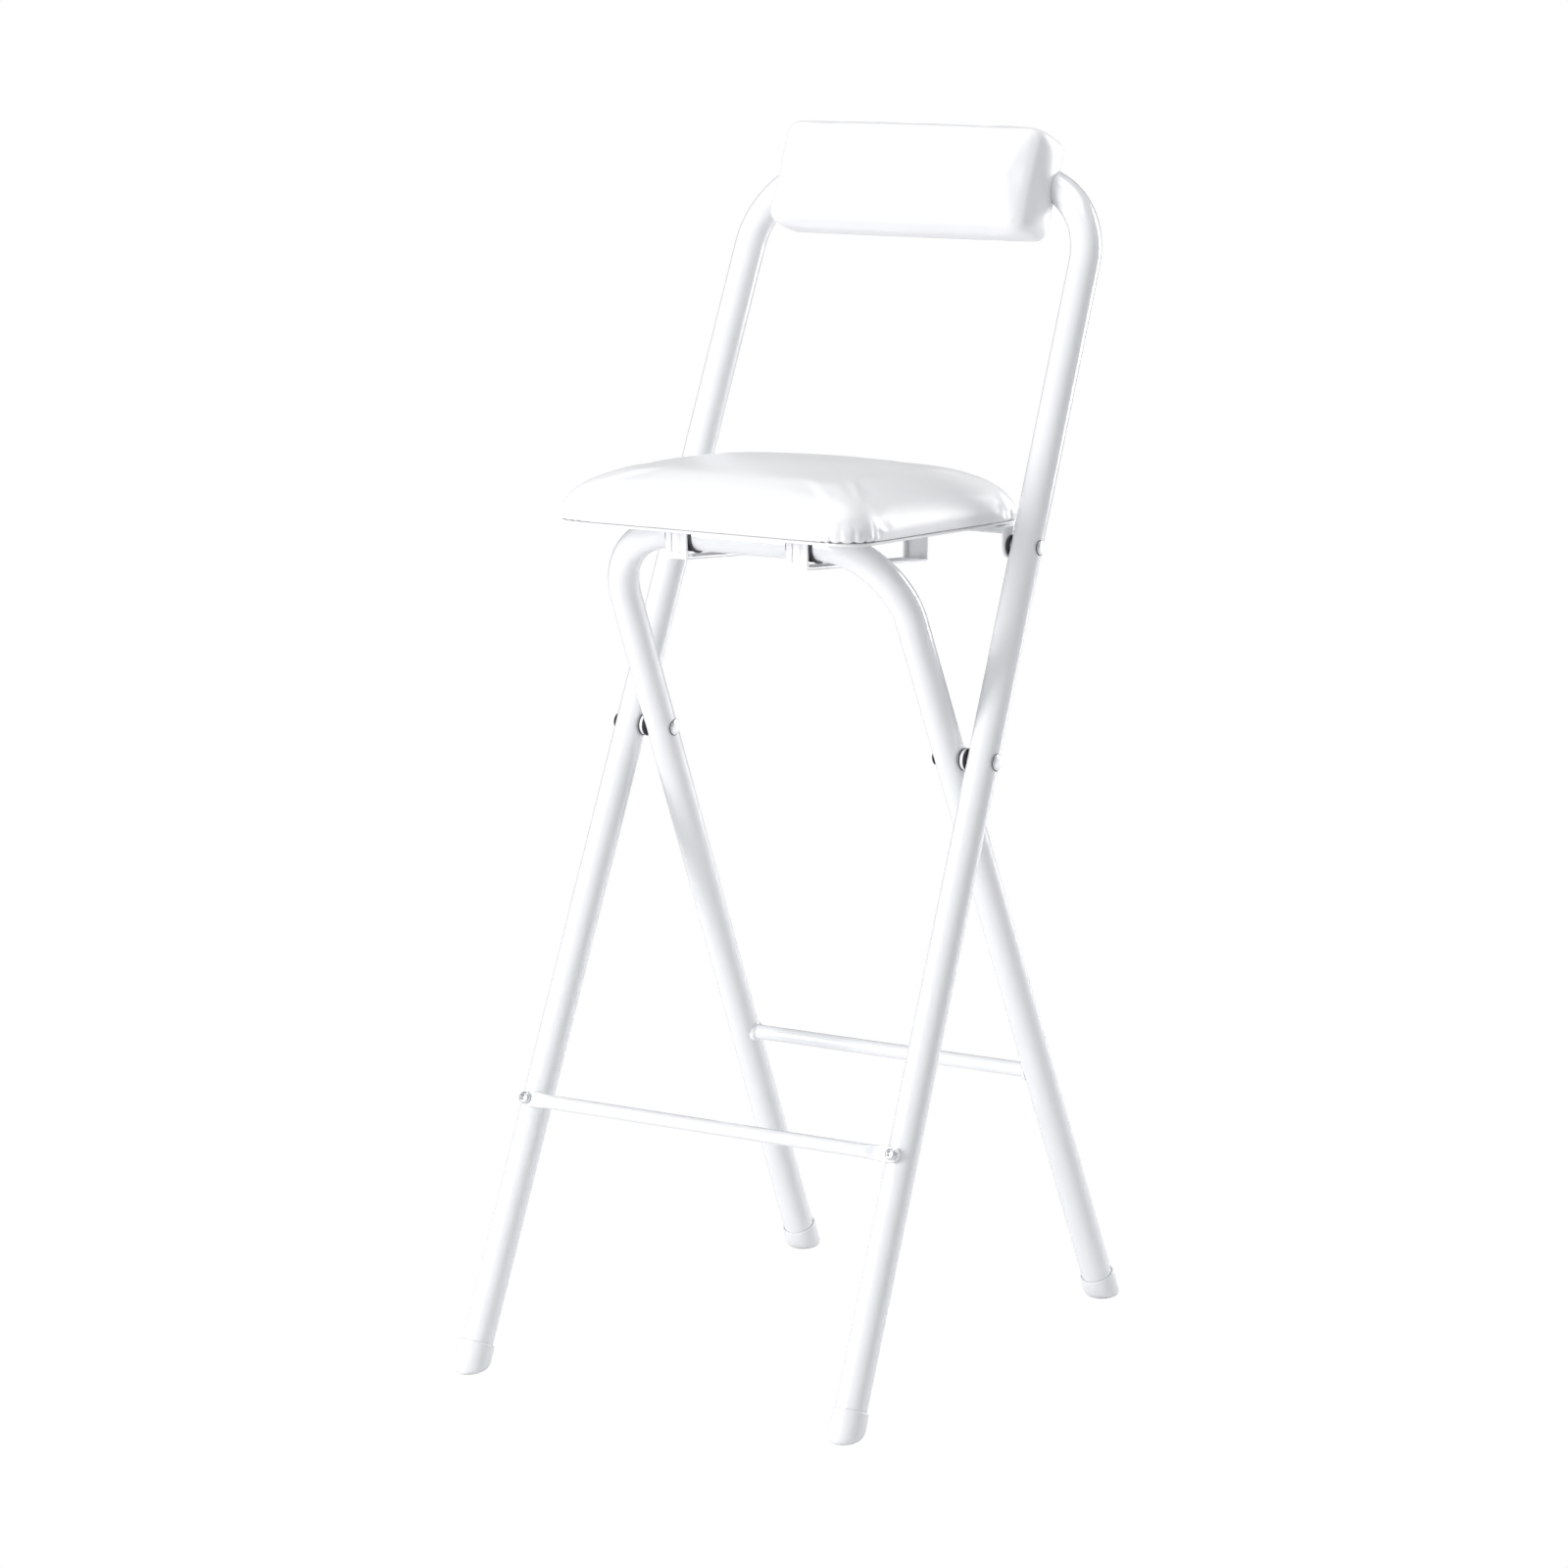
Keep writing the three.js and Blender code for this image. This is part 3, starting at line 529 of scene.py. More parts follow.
def run_on(bm, ring, shift):
    """Draws a tube straight on and gives the ring at its new end."""
    grown = bmesh.ops.extrude_edge_only(bm, edges=ring)["geom"]
    fresh = {part for part in grown if isinstance(part, bmesh.types.BMVert)}
    bmesh.ops.translate(bm, verts=list(fresh), vec=shift)
    return edges_in(grown, fresh)


def bend_on(bm, ring, centre, axis, angle, steps):
    """Bends a tube on round a centre and gives the ring at its new end."""
    swept = bmesh.ops.spin(bm, geom=ring + points_of(ring), cent=centre, axis=axis, angle=angle,
                           steps=steps, use_merge=False)
    return edges_in(swept["geom_last"])


def pinch(bm, ring, across, up):
    """Scales a ring about its own middle, from front to back and upwards."""
    points = points_of(ring)
    middle = sum((point.co for point in points), Vector()) / len(points)
    bmesh.ops.scale(bm, vec=(1, across, up), verts=points, space=Matrix.Translation(-middle))


def mirror_over(bm):
    """Adds the left half of a shape whose right half is drawn."""
    bmesh.ops.mirror(bm, geom=everything(bm), matrix=AS_DRAWN, merge_dist=SAME, axis="X")


def turned(bm, profile, sides=SMALL_SIDES):
    """Turns a profile of radius and height pairs about the upright axis."""
    points = [bm.verts.new((radius, 0, height)) for radius, height in profile]
    edges = [bm.edges.new(pair) for pair in zip(points, points[1:])]
    bmesh.ops.spin(bm, geom=points + edges, cent=(0, 0, 0), axis=(0, 0, 1), angle=2 * math.pi,
                   steps=sides, use_merge=True)
    bmesh.ops.remove_doubles(bm, verts=bm.verts, dist=SAME_FINE)


def round_edges(bm, edges, width, steps):
    """Rounds edges over a width."""
    bmesh.ops.bevel(bm, geom=edges, offset=width, offset_type="OFFSET", segments=steps,
                    profile=0.5, affect="EDGES", clamp_overlap=True, material=-1)


def rounded_slab(half_width, low, high, corner, bottom, top):
    """An upright slab with rounded corners, seen from above."""
    bm = bmesh.new()
    bmesh.ops.create_cube(bm, size=1)
    size = Vector((2 * half_width, high - low, top - bottom))
    bmesh.ops.scale(bm, vec=size, verts=bm.verts)
    bmesh.ops.translate(bm, verts=bm.verts, vec=(0, (low + high) / 2, (bottom + top) / 2))
    corners = [edge for edge in bm.edges if abs(edge.verts[0].co.z - edge.verts[1].co.z) > SAME]
    round_edges(bm, corners, corner, CORNER_STEPS)
    return bm


# Hoops
def bend_of(half_width, reach, bend):
    """Where the bend of a hoop is centred: sideways and upwards."""
    height = reach - bend
    return half_width - SPLAY_SHARE * height - bend * math.hypot(1, SPLAY_SHARE), height


def foot_end(lean):
    """How far down a leg its tube ends."""
    return (PIVOT_HEIGHT - FOOT_FLOOR - GAP - TUBE_RADIUS * math.sin(lean)) / math.cos(lean)


def leg_centre(half_width, along):
    """Half the width between a hoop's tube centres at a place along its legs."""
    return half_width - SPLAY_SHARE * along


def bar_and_bend(bm, radius, half_width, reach, bend):
    """The right half of a hoop's top bar, and its bend, with the ring at the bend's end."""
    across, height = bend_of(half_width, reach, bend)
    ring = ring_of_tube(bm, radius, TUBE_SIDES, (0, 0, reach))
    ring = run_on(bm, ring, (across, 0, 0))
    return bend_on(bm, ring, (across, 0, height), (0, 1, 0), QUARTER - SPLAY, BEND_STEPS)


def hoop(half_width, reach, bend, lean):
    """One bent tube: the top bar, a bend and a leg, mirrored to the other side."""
    bm = bmesh.new()
    ring = bar_and_bend(bm, TUBE_RADIUS, half_width, reach, bend)
    across, height = bend_of(half_width, reach, bend)
    end = foot_end(lean)
    middle = Vector((across + bend * math.cos(SPLAY), 0, height + bend * math.sin(SPLAY)))
    ring = run_on(bm, ring, Vector((half_width + SPLAY_SHARE * end, 0, -end)) - middle)
    bmesh.ops.edgeloop_fill(bm, edges=ring)
    mirror_over(bm)
    return bm


finished(hoop(BACK_HALF_WIDTH, BACK_REACH, BACK_BEND, BACK_LEAN),
         "long_hoop", BACK_PLACE, white_paint, "back_frame", "back_frame_tube")
finished(hoop(LEG_HALF_WIDTH, LEG_REACH, LEG_BEND, LEG_LEAN),
         "short_hoop", LEG_PLACE, white_paint, "leg_frame", "leg_frame_tube")


# Foot caps
def foot_cap(side, half_width, lean, place):
    """A moulded cap on a leg's end, cut level with the ground and rounded at its bottom."""
    bm = bmesh.new()
    ground = PIVOT_HEIGHT / math.cos(lean)
    low = -(ground + 2 * FOOT_RADIUS)
    high = -(ground - FOOT_HEIGHT)
    inside = -foot_end(lean) - GAP
    bore = TUBE_RADIUS + GAP
    wall = FOOT_RADIUS - bore
    lip = [(FOOT_RADIUS - inwards * wall, high - down * wall) for inwards, down in LIP_ROUNDING]
    turned(bm, [(0, low), (FOOT_RADIUS, low), *lip, (bore, high), (bore, inside), (0, inside)],
           TUBE_SIDES)
    lean_out = (Matrix.Translation((side * half_width, 0, 0))
                @ Matrix.Rotation(-side * SPLAY, 4, "Y"))
    bmesh.ops.transform(bm, matrix=place @ lean_out, verts=bm.verts)
    cut = bmesh.ops.bisect_plane(bm, geom=everything(bm), dist=SAME_FINE, plane_co=(0, 0, 0),
                                 plane_no=(0, 0, -1), clear_outer=True)
    rim = edges_in(cut["geom_cut"])
    bmesh.ops.edgeloop_fill(bm, edges=rim)
    round_edges(bm, rim, FOOT_ROUNDING, FOOT_EDGE_STEPS)
    return bm


for word, side in SIDES:
    finished(foot_cap(side, BACK_HALF_WIDTH, BACK_LEAN, BACK_PLACE), f"front_cap_{word}",
             AS_DRAWN, white_plastic, "back_frame", f"front_foot_{word}")
    finished(foot_cap(side, LEG_HALF_WIDTH, LEG_LEAN, LEG_PLACE), f"rear_cap_{word}",
             AS_DRAWN, white_plastic, "leg_frame", f"rear_foot_{word}")


# Crossbars
def press_flat(ring, half):
    """Presses a ring's front and back flat."""
    for point in points_of(ring):
        point.co.y = max(-half, min(half, point.co.y))


def pressed_bar(bolt):
    """The front crossbar: a round bar with its ends pressed flat and rounded round the bolt."""
    bm = bmesh.new()
    radius = BAR_FLAT_WIDTH / 2
    flat_start = bolt + radius - BAR_FLAT_LENGTH
    ring = ring_of_tube(bm, FRONT_BAR_RADIUS, SMALL_SIDES, (0, 0, 0))
    ring = run_on(bm, ring, (flat_start - BAR_TAPER, 0, 0))
    width = radius / FRONT_BAR_RADIUS
    for step in range(1, BAR_STEPS + 1):
        ring = run_on(bm, ring, (BAR_TAPER / BAR_STEPS, 0, 0))
        pinch(bm, ring, 1, width ** (1 / BAR_STEPS))
        eased = (1 - math.cos(math.pi * step / BAR_STEPS)) / 2
        press_flat(ring, FRONT_BAR_RADIUS + (BAR_FLAT / 2 - FRONT_BAR_RADIUS) * eased)
    ring = run_on(bm, ring, (bolt - flat_start, 0, 0))
    before = 0.0
    for step in range(1, BAR_STEPS + 1):
        angle = BAR_END_TURN * step / BAR_STEPS
        ring = run_on(bm, ring, (radius * (math.sin(angle) - math.sin(before)), 0, 0))
        pinch(bm, ring, 1, math.cos(angle) / math.cos(before))
        before = angle
    bmesh.ops.edgeloop_fill(bm, edges=ring)
    mirror_over(bm)
    return bm


def welded_bar():
    """The rear crossbar, with a bead that flares onto the leg at each end."""
    bm = bmesh.new()
    half = leg_centre(LEG_HALF_WIDTH, -REAR_BAR_REACH) - TUBE_RADIUS - GAP
    ring = ring_of_tube(bm, REAR_BAR_RADIUS, SMALL_SIDES, (0, 0, 0))
    ring = run_on(bm, ring, (half - WELD, 0, 0))
    before, narrow = 0.0, REAR_BAR_RADIUS
    for step in range(1, WELD_STEPS + 1):
        angle = QUARTER * step / WELD_STEPS
        ring = run_on(bm, ring, (WELD * (math.sin(angle) - math.sin(before)), 0, 0))
        flare = REAR_BAR_RADIUS + WELD * WELD_FLARE * (1 - math.cos(angle))
        pinch(bm, ring, flare / narrow, flare / narrow)
        before, narrow = angle, flare
    for point in points_of(ring):
        point.co.x += TUBE_RADIUS - math.sqrt(max(TUBE_RADIUS ** 2 - point.co.y ** 2, 0))
    bmesh.ops.edgeloop_fill(bm, edges=ring)
    mirror_over(bm)
    return bm


bolt_across = leg_centre(BACK_HALF_WIDTH, -FRONT_BAR_REACH)
bar_offset = TUBE_RADIUS + GAP + BAR_FLAT / 2
finished(pressed_bar(bolt_across), "front_step_bar",
         BACK_PLACE @ Matrix.Translation((0, -bar_offset, -FRONT_BAR_REACH)),
         white_paint, "back_frame", "front_crossbar")
finished(welded_bar(), "rear_step_bar", LEG_PLACE @ Matrix.Translation((0, 0, -REAR_BAR_REACH)),
         white_paint, "leg_frame", "rear_crossbar")


# Fasteners
def dome(radius, height):
    """A low head's profile: a nearly flat face at -height, a round shoulder, an edge at zero."""
    face = HEAD_FACE * radius
    edge = HEAD_EDGE * height
    rise = HEAD_SHOULDER * height - edge
    points = [(0, -height)]
    for step in range(HEAD_STEPS + 1):
        angle = QUARTER * step / HEAD_STEPS
        points.append((face + (radius - face) * math.sin(angle), -edge - rise * math.cos(angle)))
    return points + [(radius, 0)]


def fastener(head, head_height, shank, length, tail=0.0, tail_height=0.0, socket=0.0):
    """A pin along z with a domed head below zero, and a plain or domed far end."""
    bm = bmesh.new()
    profile = dome(head, head_height)
    if socket:
        floor = SOCKET_DEPTH * head_height - head_height
        outside = [(radius, height) for radius, height in profile if radius > socket]
        profile = [(0, floor), (socket * SOCKET_FLOOR, floor)] + outside
    profile += [(shank, 0), (shank, length)]
    if tail:
        profile += [(radius, length - height)
                    for radius, height in reversed(dome(tail, tail_height))]
    else:
        profile.append((0, length))
    turned(bm, profile)
    return bm


def outward(side, across, along=0.0):
    """Places a fastener drawn along z so that its head is outermost on that side."""
    return (Matrix.Translation((side * across, 0, along))
            @ Matrix.Rotation(-side * QUARTER, 4, "Y"))


def sideways(side):
    """Turns a shape drawn along z to lie along the stool's width, towards that side."""
    return Matrix.Rotation(side * QUARTER, 4, "Y")


def cap_nut():
    """A dome nut: a hexagon with soft edges and a dome on its face."""
    bm = bmesh.new()
    bmesh.ops.create_cone(bm, cap_ends=True, cap_tris=False, segments=NUT_FLATS,
                          radius1=NUT_RADIUS, radius2=NUT_RADIUS, depth=NUT_HEIGHT / 2)
    bmesh.ops.translate(bm, verts=bm.verts, vec=(0, 0, NUT_HEIGHT / 4))
    round_edges(bm, bm.edges[:], NUT_EDGE, SMALL_EDGE_STEPS)
    top = bmesh.new()
    ball = bmesh.ops.create_uvsphere(top, u_segments=SMALL_SIDES // 2, v_segments=BALL_RINGS,
                                     radius=NUT_DOME_RADIUS)
    bmesh.ops.scale(top, vec=(1, 1, NUT_DOME_RISE), verts=ball["verts"])
    bmesh.ops.translate(top, verts=ball["verts"], vec=(0, 0, NUT_HEIGHT / 2))
    bmesh.ops.bisect_plane(top, geom=everything(top), plane_co=(0, 0, NUT_HEIGHT / 4),
                           plane_no=(0, 0, -1), clear_outer=True)
    bmesh.ops.holes_fill(top, edges=top.edges[:])
    mesh = bpy.data.meshes.new("nut_dome")
    top.to_mesh(mesh)
    top.free()
    bm.from_mesh(mesh)
    bpy.data.meshes.remove(mesh)
    return bm


def washer(radius, bore, low, high, soft):
    """A ring from low to high along the axis, with rounded outer edges."""
    bm = bmesh.new()
    shy = 0.3 * soft
    turned(bm, [
        (bore, low), (radius - soft, low), (radius - shy, low + shy), (radius, low + soft),
        (radius, high - soft), (radius - shy, high - shy), (radius - soft, high), (bore, high),
        (bore, low),
    ])
    return bm


def shade_ring_under_head(head, bore, low):
    """A thin dark ring under a rivet's head, painted shade for the shadow outline round the
    head.
    """
    return washer(head + RIVET_SHADE_RING, bore, low, low + SHADE_RING_DEPTH, SHADE_RING_EDGE)


hinge_tube_face = leg_centre(BACK_HALF_WIDTH, HINGE_REACH) - TUBE_RADIUS
ear_outer = hinge_tube_face - EAR_GAP
ear_inner = ear_outer - EAR_THICKNESS
SEAT_SCREWS = ("runner_screw_front", "runner_screw_rear", "bracket_screw_front",
               "bracket_screw_rear")


def crossbar_bolt(word, side):
    """A bolt through the front crossbar and the leg, with a nut behind."""
    across = side * bolt_across
    length = BAR_FLAT + 2 * TUBE_RADIUS + 3 * GAP + NUT_HEIGHT / 2
    head_seat = -(bar_offset + BAR_FLAT / 2 + GAP)
    finished(fastener(BOLT_HEAD_RADIUS, BOLT_HEAD_HEIGHT, BOLT_RADIUS, length,
                      socket=BOLT_SOCKET),
             f"step_bolt_{word}",
             BACK_PLACE @ Matrix.Translation((across, head_seat, -FRONT_BAR_REACH))
             @ FACING_BACK, zinc, "back_frame", f"crossbar_bolt_{word}")
    finished(cap_nut(), f"dome_nut_{word}",
             BACK_PLACE @ Matrix.Translation((across, TUBE_RADIUS + GAP, -FRONT_BAR_REACH))
             @ FACING_BACK, zinc, "back_frame", f"crossbar_nut_{word}")


def scissor_pivot(word, side):
    """A rivet through both hoops, with a spacer, a dark ring under each head and a dark washer
    at each end of the spacer; the rings and washers are painted shade for the shadow outlines
    round the pivot.
    """
    across = BACK_PLACE @ sideways(side)
    bore = PIN_RADIUS + GAP
    outer = BACK_HALF_WIDTH + TUBE_RADIUS + GAP
    inner = LEG_HALF_WIDTH - TUBE_RADIUS - GAP
    finished(fastener(PIN_HEAD_RADIUS, PIN_HEAD_HEIGHT, PIN_RADIUS, outer - inner,
                      PIN_HEAD_RADIUS, PIN_HEAD_HEIGHT),
             f"scissor_rivet_{word}", BACK_PLACE @ outward(side, outer), zinc, "back_frame",
             f"pivot_pin_{word}")
    # Dark rings under the heads: painted shade, the heads' shadow outlines.
    for end, low in (("outer", outer - GAP), ("inner", inner + GAP - SHADE_RING_DEPTH)):
        finished(shade_ring_under_head(PIN_HEAD_RADIUS, bore, low), f"rivet_shade_ring_{end}_{word}", across,
                 dark_nylon_and_painted_shade, "back_frame")
    low = LEG_HALF_WIDTH + TUBE_RADIUS + GAP
    high = BACK_HALF_WIDTH - TUBE_RADIUS - GAP
    finished(washer(SPACER_RADIUS, bore, low + WASHER, high - WASHER, SPACER_EDGE),
             f"scissor_spacer_{word}", across, white_plastic, "back_frame",
             f"pivot_spacer_{word}")
    # Dark washers at the spacer's ends: painted shade, the shadow outlines round the spacer.
    for end, start in (("inner", low), ("outer", high - WASHER)):
        finished(washer(SHADE_WASHER_RADIUS, bore, start, start + WASHER, SHADE_WASHER_EDGE),
                 f"scissor_shade_washer_{end}_{word}", across, dark_nylon_and_painted_shade, "back_frame")


def seat_hinge(word, side):
    """A rivet through the long hoop, with its tail in the ear, a dark ring under its head and a
    dark washer between the ear and the tube; ring and washer are painted shade.
    """
    across = BACK_PLACE @ sideways(side) @ Matrix.Translation((-side * HINGE_REACH, 0, 0))
    # The dark washer between the ear and the tube is painted shade, the shadow beside the ear.
    finished(washer(HINGE_SHADE_WASHER_RADIUS, RIVET_SHOULDER + GAP, ear_outer + GAP,
                    hinge_tube_face - GAP, HINGE_SHADE_WASHER_EDGE),
             f"hinge_shade_washer_{word}", across, dark_nylon_and_painted_shade, "back_frame")
    outer = hinge_tube_face + 2 * TUBE_RADIUS + GAP
    # The dark ring under the head is painted shade, the head's shadow outline.
    finished(shade_ring_under_head(RIVET_HEAD_RADIUS, RIVET_RADIUS + GAP, outer - GAP),
             f"hinge_shade_ring_{word}", across, dark_nylon_and_painted_shade, "back_frame")
    finished(fastener(RIVET_HEAD_RADIUS, RIVET_HEAD_HEIGHT, RIVET_RADIUS,
                      2 * (TUBE_RADIUS + GAP), RIVET_SHOULDER, EAR_GAP - 2 * GAP),
             f"seat_rivet_{word}", BACK_PLACE @ outward(side, outer, HINGE_REACH), zinc,
             "back_frame", f"hinge_rivet_{word}")
    tail = Matrix.Translation((side * (ear_inner - GAP), hinge_in_seat.y, hinge_in_seat.z))
    finished(fastener(STUD_HEAD_RADIUS, STUD_HEAD_HEIGHT, RIVET_RADIUS, EAR_THICKNESS + GAP),
             f"rivet_tail_{word}", SEAT_PLACE @ tail @ sideways(side), zinc, "seat",
             f"hinge_stud_{word}")


def backrest_screw(word, side):
    """A screw from behind, through the top bar into the backrest's board."""
    head = Matrix.Translation((side * BACK_SCREW_SPACING, TUBE_RADIUS + GAP, BACK_REACH))
    finished(fastener(SCREW_HEAD_RADIUS, SCREW_HEAD_HEIGHT, SCREW_RADIUS,
                      2 * TUBE_RADIUS + 2 * GAP + BACK_SCREW_GRIP, socket=SCREW_SOCKET),
             f"backrest_screw_{word}", BACK_PLACE @ head @ FACING_FRONT, zinc, "back_frame",
             f"back_screw_{word}")


def seat_screw(kind):
    """A screw from below into the seat's board, where the frame has it."""
    low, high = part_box(kind)
    middle = SEAT_PLACE.inverted() @ ((low + high) / 2)
    tip = PAN_TOP + GAP + SCREW_GRIP
    start = (middle.z * 2 - tip) + SCREW_HEAD_HEIGHT
    finished(fastener(SCREW_HEAD_RADIUS, SCREW_HEAD_HEIGHT, SCREW_RADIUS, tip - start,
                      socket=SCREW_SOCKET),
             f"seat_{kind}", SEAT_PLACE @ Matrix.Translation((middle.x, middle.y, start)),
             zinc, "seat", kind)


for word, side in SIDES:
    crossbar_bolt(word, side)
    scissor_pivot(word, side)
    seat_hinge(word, side)
    backrest_screw(word, side)
    for kind in SEAT_SCREWS:
        seat_screw(f"{kind}_{word}")


# Pressed and bent parts
SHARP_BEND = math.radians(40)
FLAT_JOIN = math.radians(1)
FACES_FRONT = -0.9


def front_rank(face):
    """How far forward a face lies, with the front leg of a runner before all others."""
    tall_front = face.normal.y < FACES_FRONT and face.calc_area() > RUNNER_WIDTH ** 2
    return face.calc_center_median().y + (0 if tall_front else 1)


def softened_copy(node, drawn_from, edge, name, press=0.0):
    """A painted copy of a node's mesh, or of its twin's on the other side, with soft edges."""
    bm = bmesh.new()
    bm.from_mesh(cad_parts[drawn_from].data)
    bmesh.ops.remove_doubles(bm, verts=bm.verts, dist=SAME)
    bmesh.ops.dissolve_limit(bm, angle_limit=FLAT_JOIN, verts=bm.verts, edges=bm.edges)
    if press:
        front = [min(bm.faces, key=front_rank)]
        bmesh.ops.inset_region(bm, faces=front, thickness=RUNNER_WIDTH / 4,
                               use_even_offset=True)
        bmesh.ops.inset_region(bm, faces=front, thickness=press / 2, depth=-press,
                               use_even_offset=True)
    sharp = [bend for bend in bm.edges
             if len(bend.link_faces) == 2 and bend.calc_face_angle() > SHARP_BEND]
    round_edges(bm, sharp, edge, SMALL_EDGE_STEPS)
    over = 1 if drawn_from == node else -1
    finished(bm, name, Matrix.Diagonal((over, 1, 1, 1)), white_paint, "seat", node)


softened_copy("seat_pan", "seat_pan", PAN_EDGE, "seat_tray")
for word, side in SIDES:
    softened_copy(f"runner_{word}", "runner_right", RUNNER_EDGE, f"slide_runner_{word}",
                  press=RUNNER_PRESS)
    softened_copy(f"hinge_bracket_{word}", "hinge_bracket_right", BRACKET_EDGE,
                  f"hinge_plate_{word}")


def glide():
    """A nylon sleeve on the short hoop's bar, with a flange beside each edge of its runner."""
    bm = bmesh.new()
    low = RUNNER_INNER - GLIDE_OVERHANG
    high = RUNNER_INNER + RUNNER_WIDTH + GLIDE_OVERHANG
    bore = TUBE_RADIUS + GAP
    turned(bm, [
        (bore, low), (GLIDE_RADIUS - GLIDE_EDGE, low), (GLIDE_RADIUS, low + GLIDE_EDGE),
        (GLIDE_RADIUS, low + GLIDE_FLANGE), (SLEEVE_RADIUS, low + GLIDE_FLANGE),
        (SLEEVE_RADIUS, high - GLIDE_FLANGE), (GLIDE_RADIUS, high - GLIDE_FLANGE),
        (GLIDE_RADIUS, high - GLIDE_EDGE), (GLIDE_RADIUS - GLIDE_EDGE, high), (bore, high),
        (bore, low),
    ], TUBE_SIDES)
    return bm


for word, side in SIDES:
    finished(glide(), f"nylon_glide_{word}", SEAT_PLACE @ sideways(side), dark_nylon_and_painted_shade, "glides",
             f"glide_{word}")

# Padding
PAD_NET = 0.004
PRESSURE = 4.0
CLOTH_QUALITY = 6
LAST_FRAME = 20
SHOULDER_EASE = 1.6
SLIVER = 1e-5
TINY = 1e-9

# The gathers at the seat's corners: where they start and how they fade in, in shares of the
# corner's radius, how many a full turn would have, and how narrow and uneven they are
PLEAT_START = 1.6
PLEAT_FADE = 0.5
PLEAT_COUNT = 34
PLEAT_NARROW = 3
PLEAT_UNEVEN = 3

# The waves in them: strength, pace round the corner, pace along an axis, and that axis
PLEAT_WAVES = ((0.35, 7.3, 40, 1), (0.25, 3.1, 55, 0))


def apply_all(piece):
    """Bakes a piece's modifiers into its mesh."""
    bpy.context.view_layer.update()
    shaped = piece.evaluated_get(bpy.context.evaluated_depsgraph_get())
    mesh = bpy.data.meshes.new_from_object(shaped)
    old = piece.data
    piece.modifiers.clear()
    piece.data = mesh
    bpy.data.meshes.remove(old)


def remeshed(piece):
    """Gives a piece an even net of small faces."""
    net = piece.modifiers.new("net", "REMESH")
    net.mode = "VOXEL"
    net.voxel_size = PAD_NET
    apply_all(piece)


def places(mesh, what="co"):
    """A mesh's points, or their outward directions, as rows of numbers."""
    flat = np.empty(3 * len(mesh.vertices))
    mesh.vertices.foreach_get(what, flat)
    return flat.reshape(-1, 3)


def stuffed(piece, bottom, held, most):
    """Swells a piece under its cover by no more than most, with its bottom held."""
    start = places(piece.data)
    group = piece.vertex_groups.new(name="held")
    for index, share in enumerate(np.clip(1 - (start[:, 2] - bottom) / held, 0, 1)):
        if share > 0:
            group.add([index], float(share), "REPLACE")
    cloth = piece.modifiers.new("stuffing", "CLOTH")
    cloth.settings.quality = CLOTH_QUALITY
    cloth.settings.use_pressure = True
    cloth.settings.uniform_pressure_force = PRESSURE
    cloth.settings.effector_weights.gravity = 0
    cloth.settings.vertex_group_mass = "held"
    cloth.point_cache.frame_start = 1
    cloth.point_cache.frame_end = LAST_FRAME
    for number in range(1, LAST_FRAME + 1):
        scene.frame_set(number)
    shaped = piece.evaluated_get(bpy.context.evaluated_depsgraph_get())
    moved = places(shaped.to_mesh()) - start
    shaped.to_mesh_clear()
    piece.modifiers.clear()
    scene.frame_set(1)
    length = np.linalg.norm(moved, axis=1, keepdims=True)
    allowed = most * np.tanh(length / most)
    moved *= allowed / np.maximum(length, TINY)
    piece.data.vertices.foreach_set("co", (start + moved).ravel())
    piece.data.update()
    piece.vertex_groups.clear()


def shaped_by(piece, move):
    """Moves every point of a piece by a rule."""
    points = places(piece.data)
    move(points)
    piece.data.vertices.foreach_set("co", points.ravel())
    piece.data.update()


def smoothed(piece):
    """One level of subdivision."""
    level = piece.modifiers.new("smooth", "SUBSURF")
    level.levels = 1
    level.render_levels = 1
    apply_all(piece)


def cut_away(piece, *tools):
    """Takes the room of other pieces out of a cushion's hidden side."""
    for tool in tools:
        room = piece.modifiers.new("room", "BOOLEAN")
        room.operation = "DIFFERENCE"
        room.solver = "EXACT"
        room.object = tool
        apply_all(piece)
        bpy.data.objects.remove(tool)


def cushion_done(piece, place):
    """Gives a cushion its cover and its place."""
    mesh = piece.data
    bm = bmesh.new()
    bm.from_mesh(mesh)
    bmesh.ops.dissolve_degenerate(bm, dist=SLIVER, edges=bm.edges)
    bm.to_mesh(mesh)
    bm.free()
    mesh.transform(place)
    mesh.materials.clear()
    mesh.materials.append(white_leather)
    mesh.shade_smooth()
    mesh.set_sharp_from_angle(angle=SOFT_SHARP)


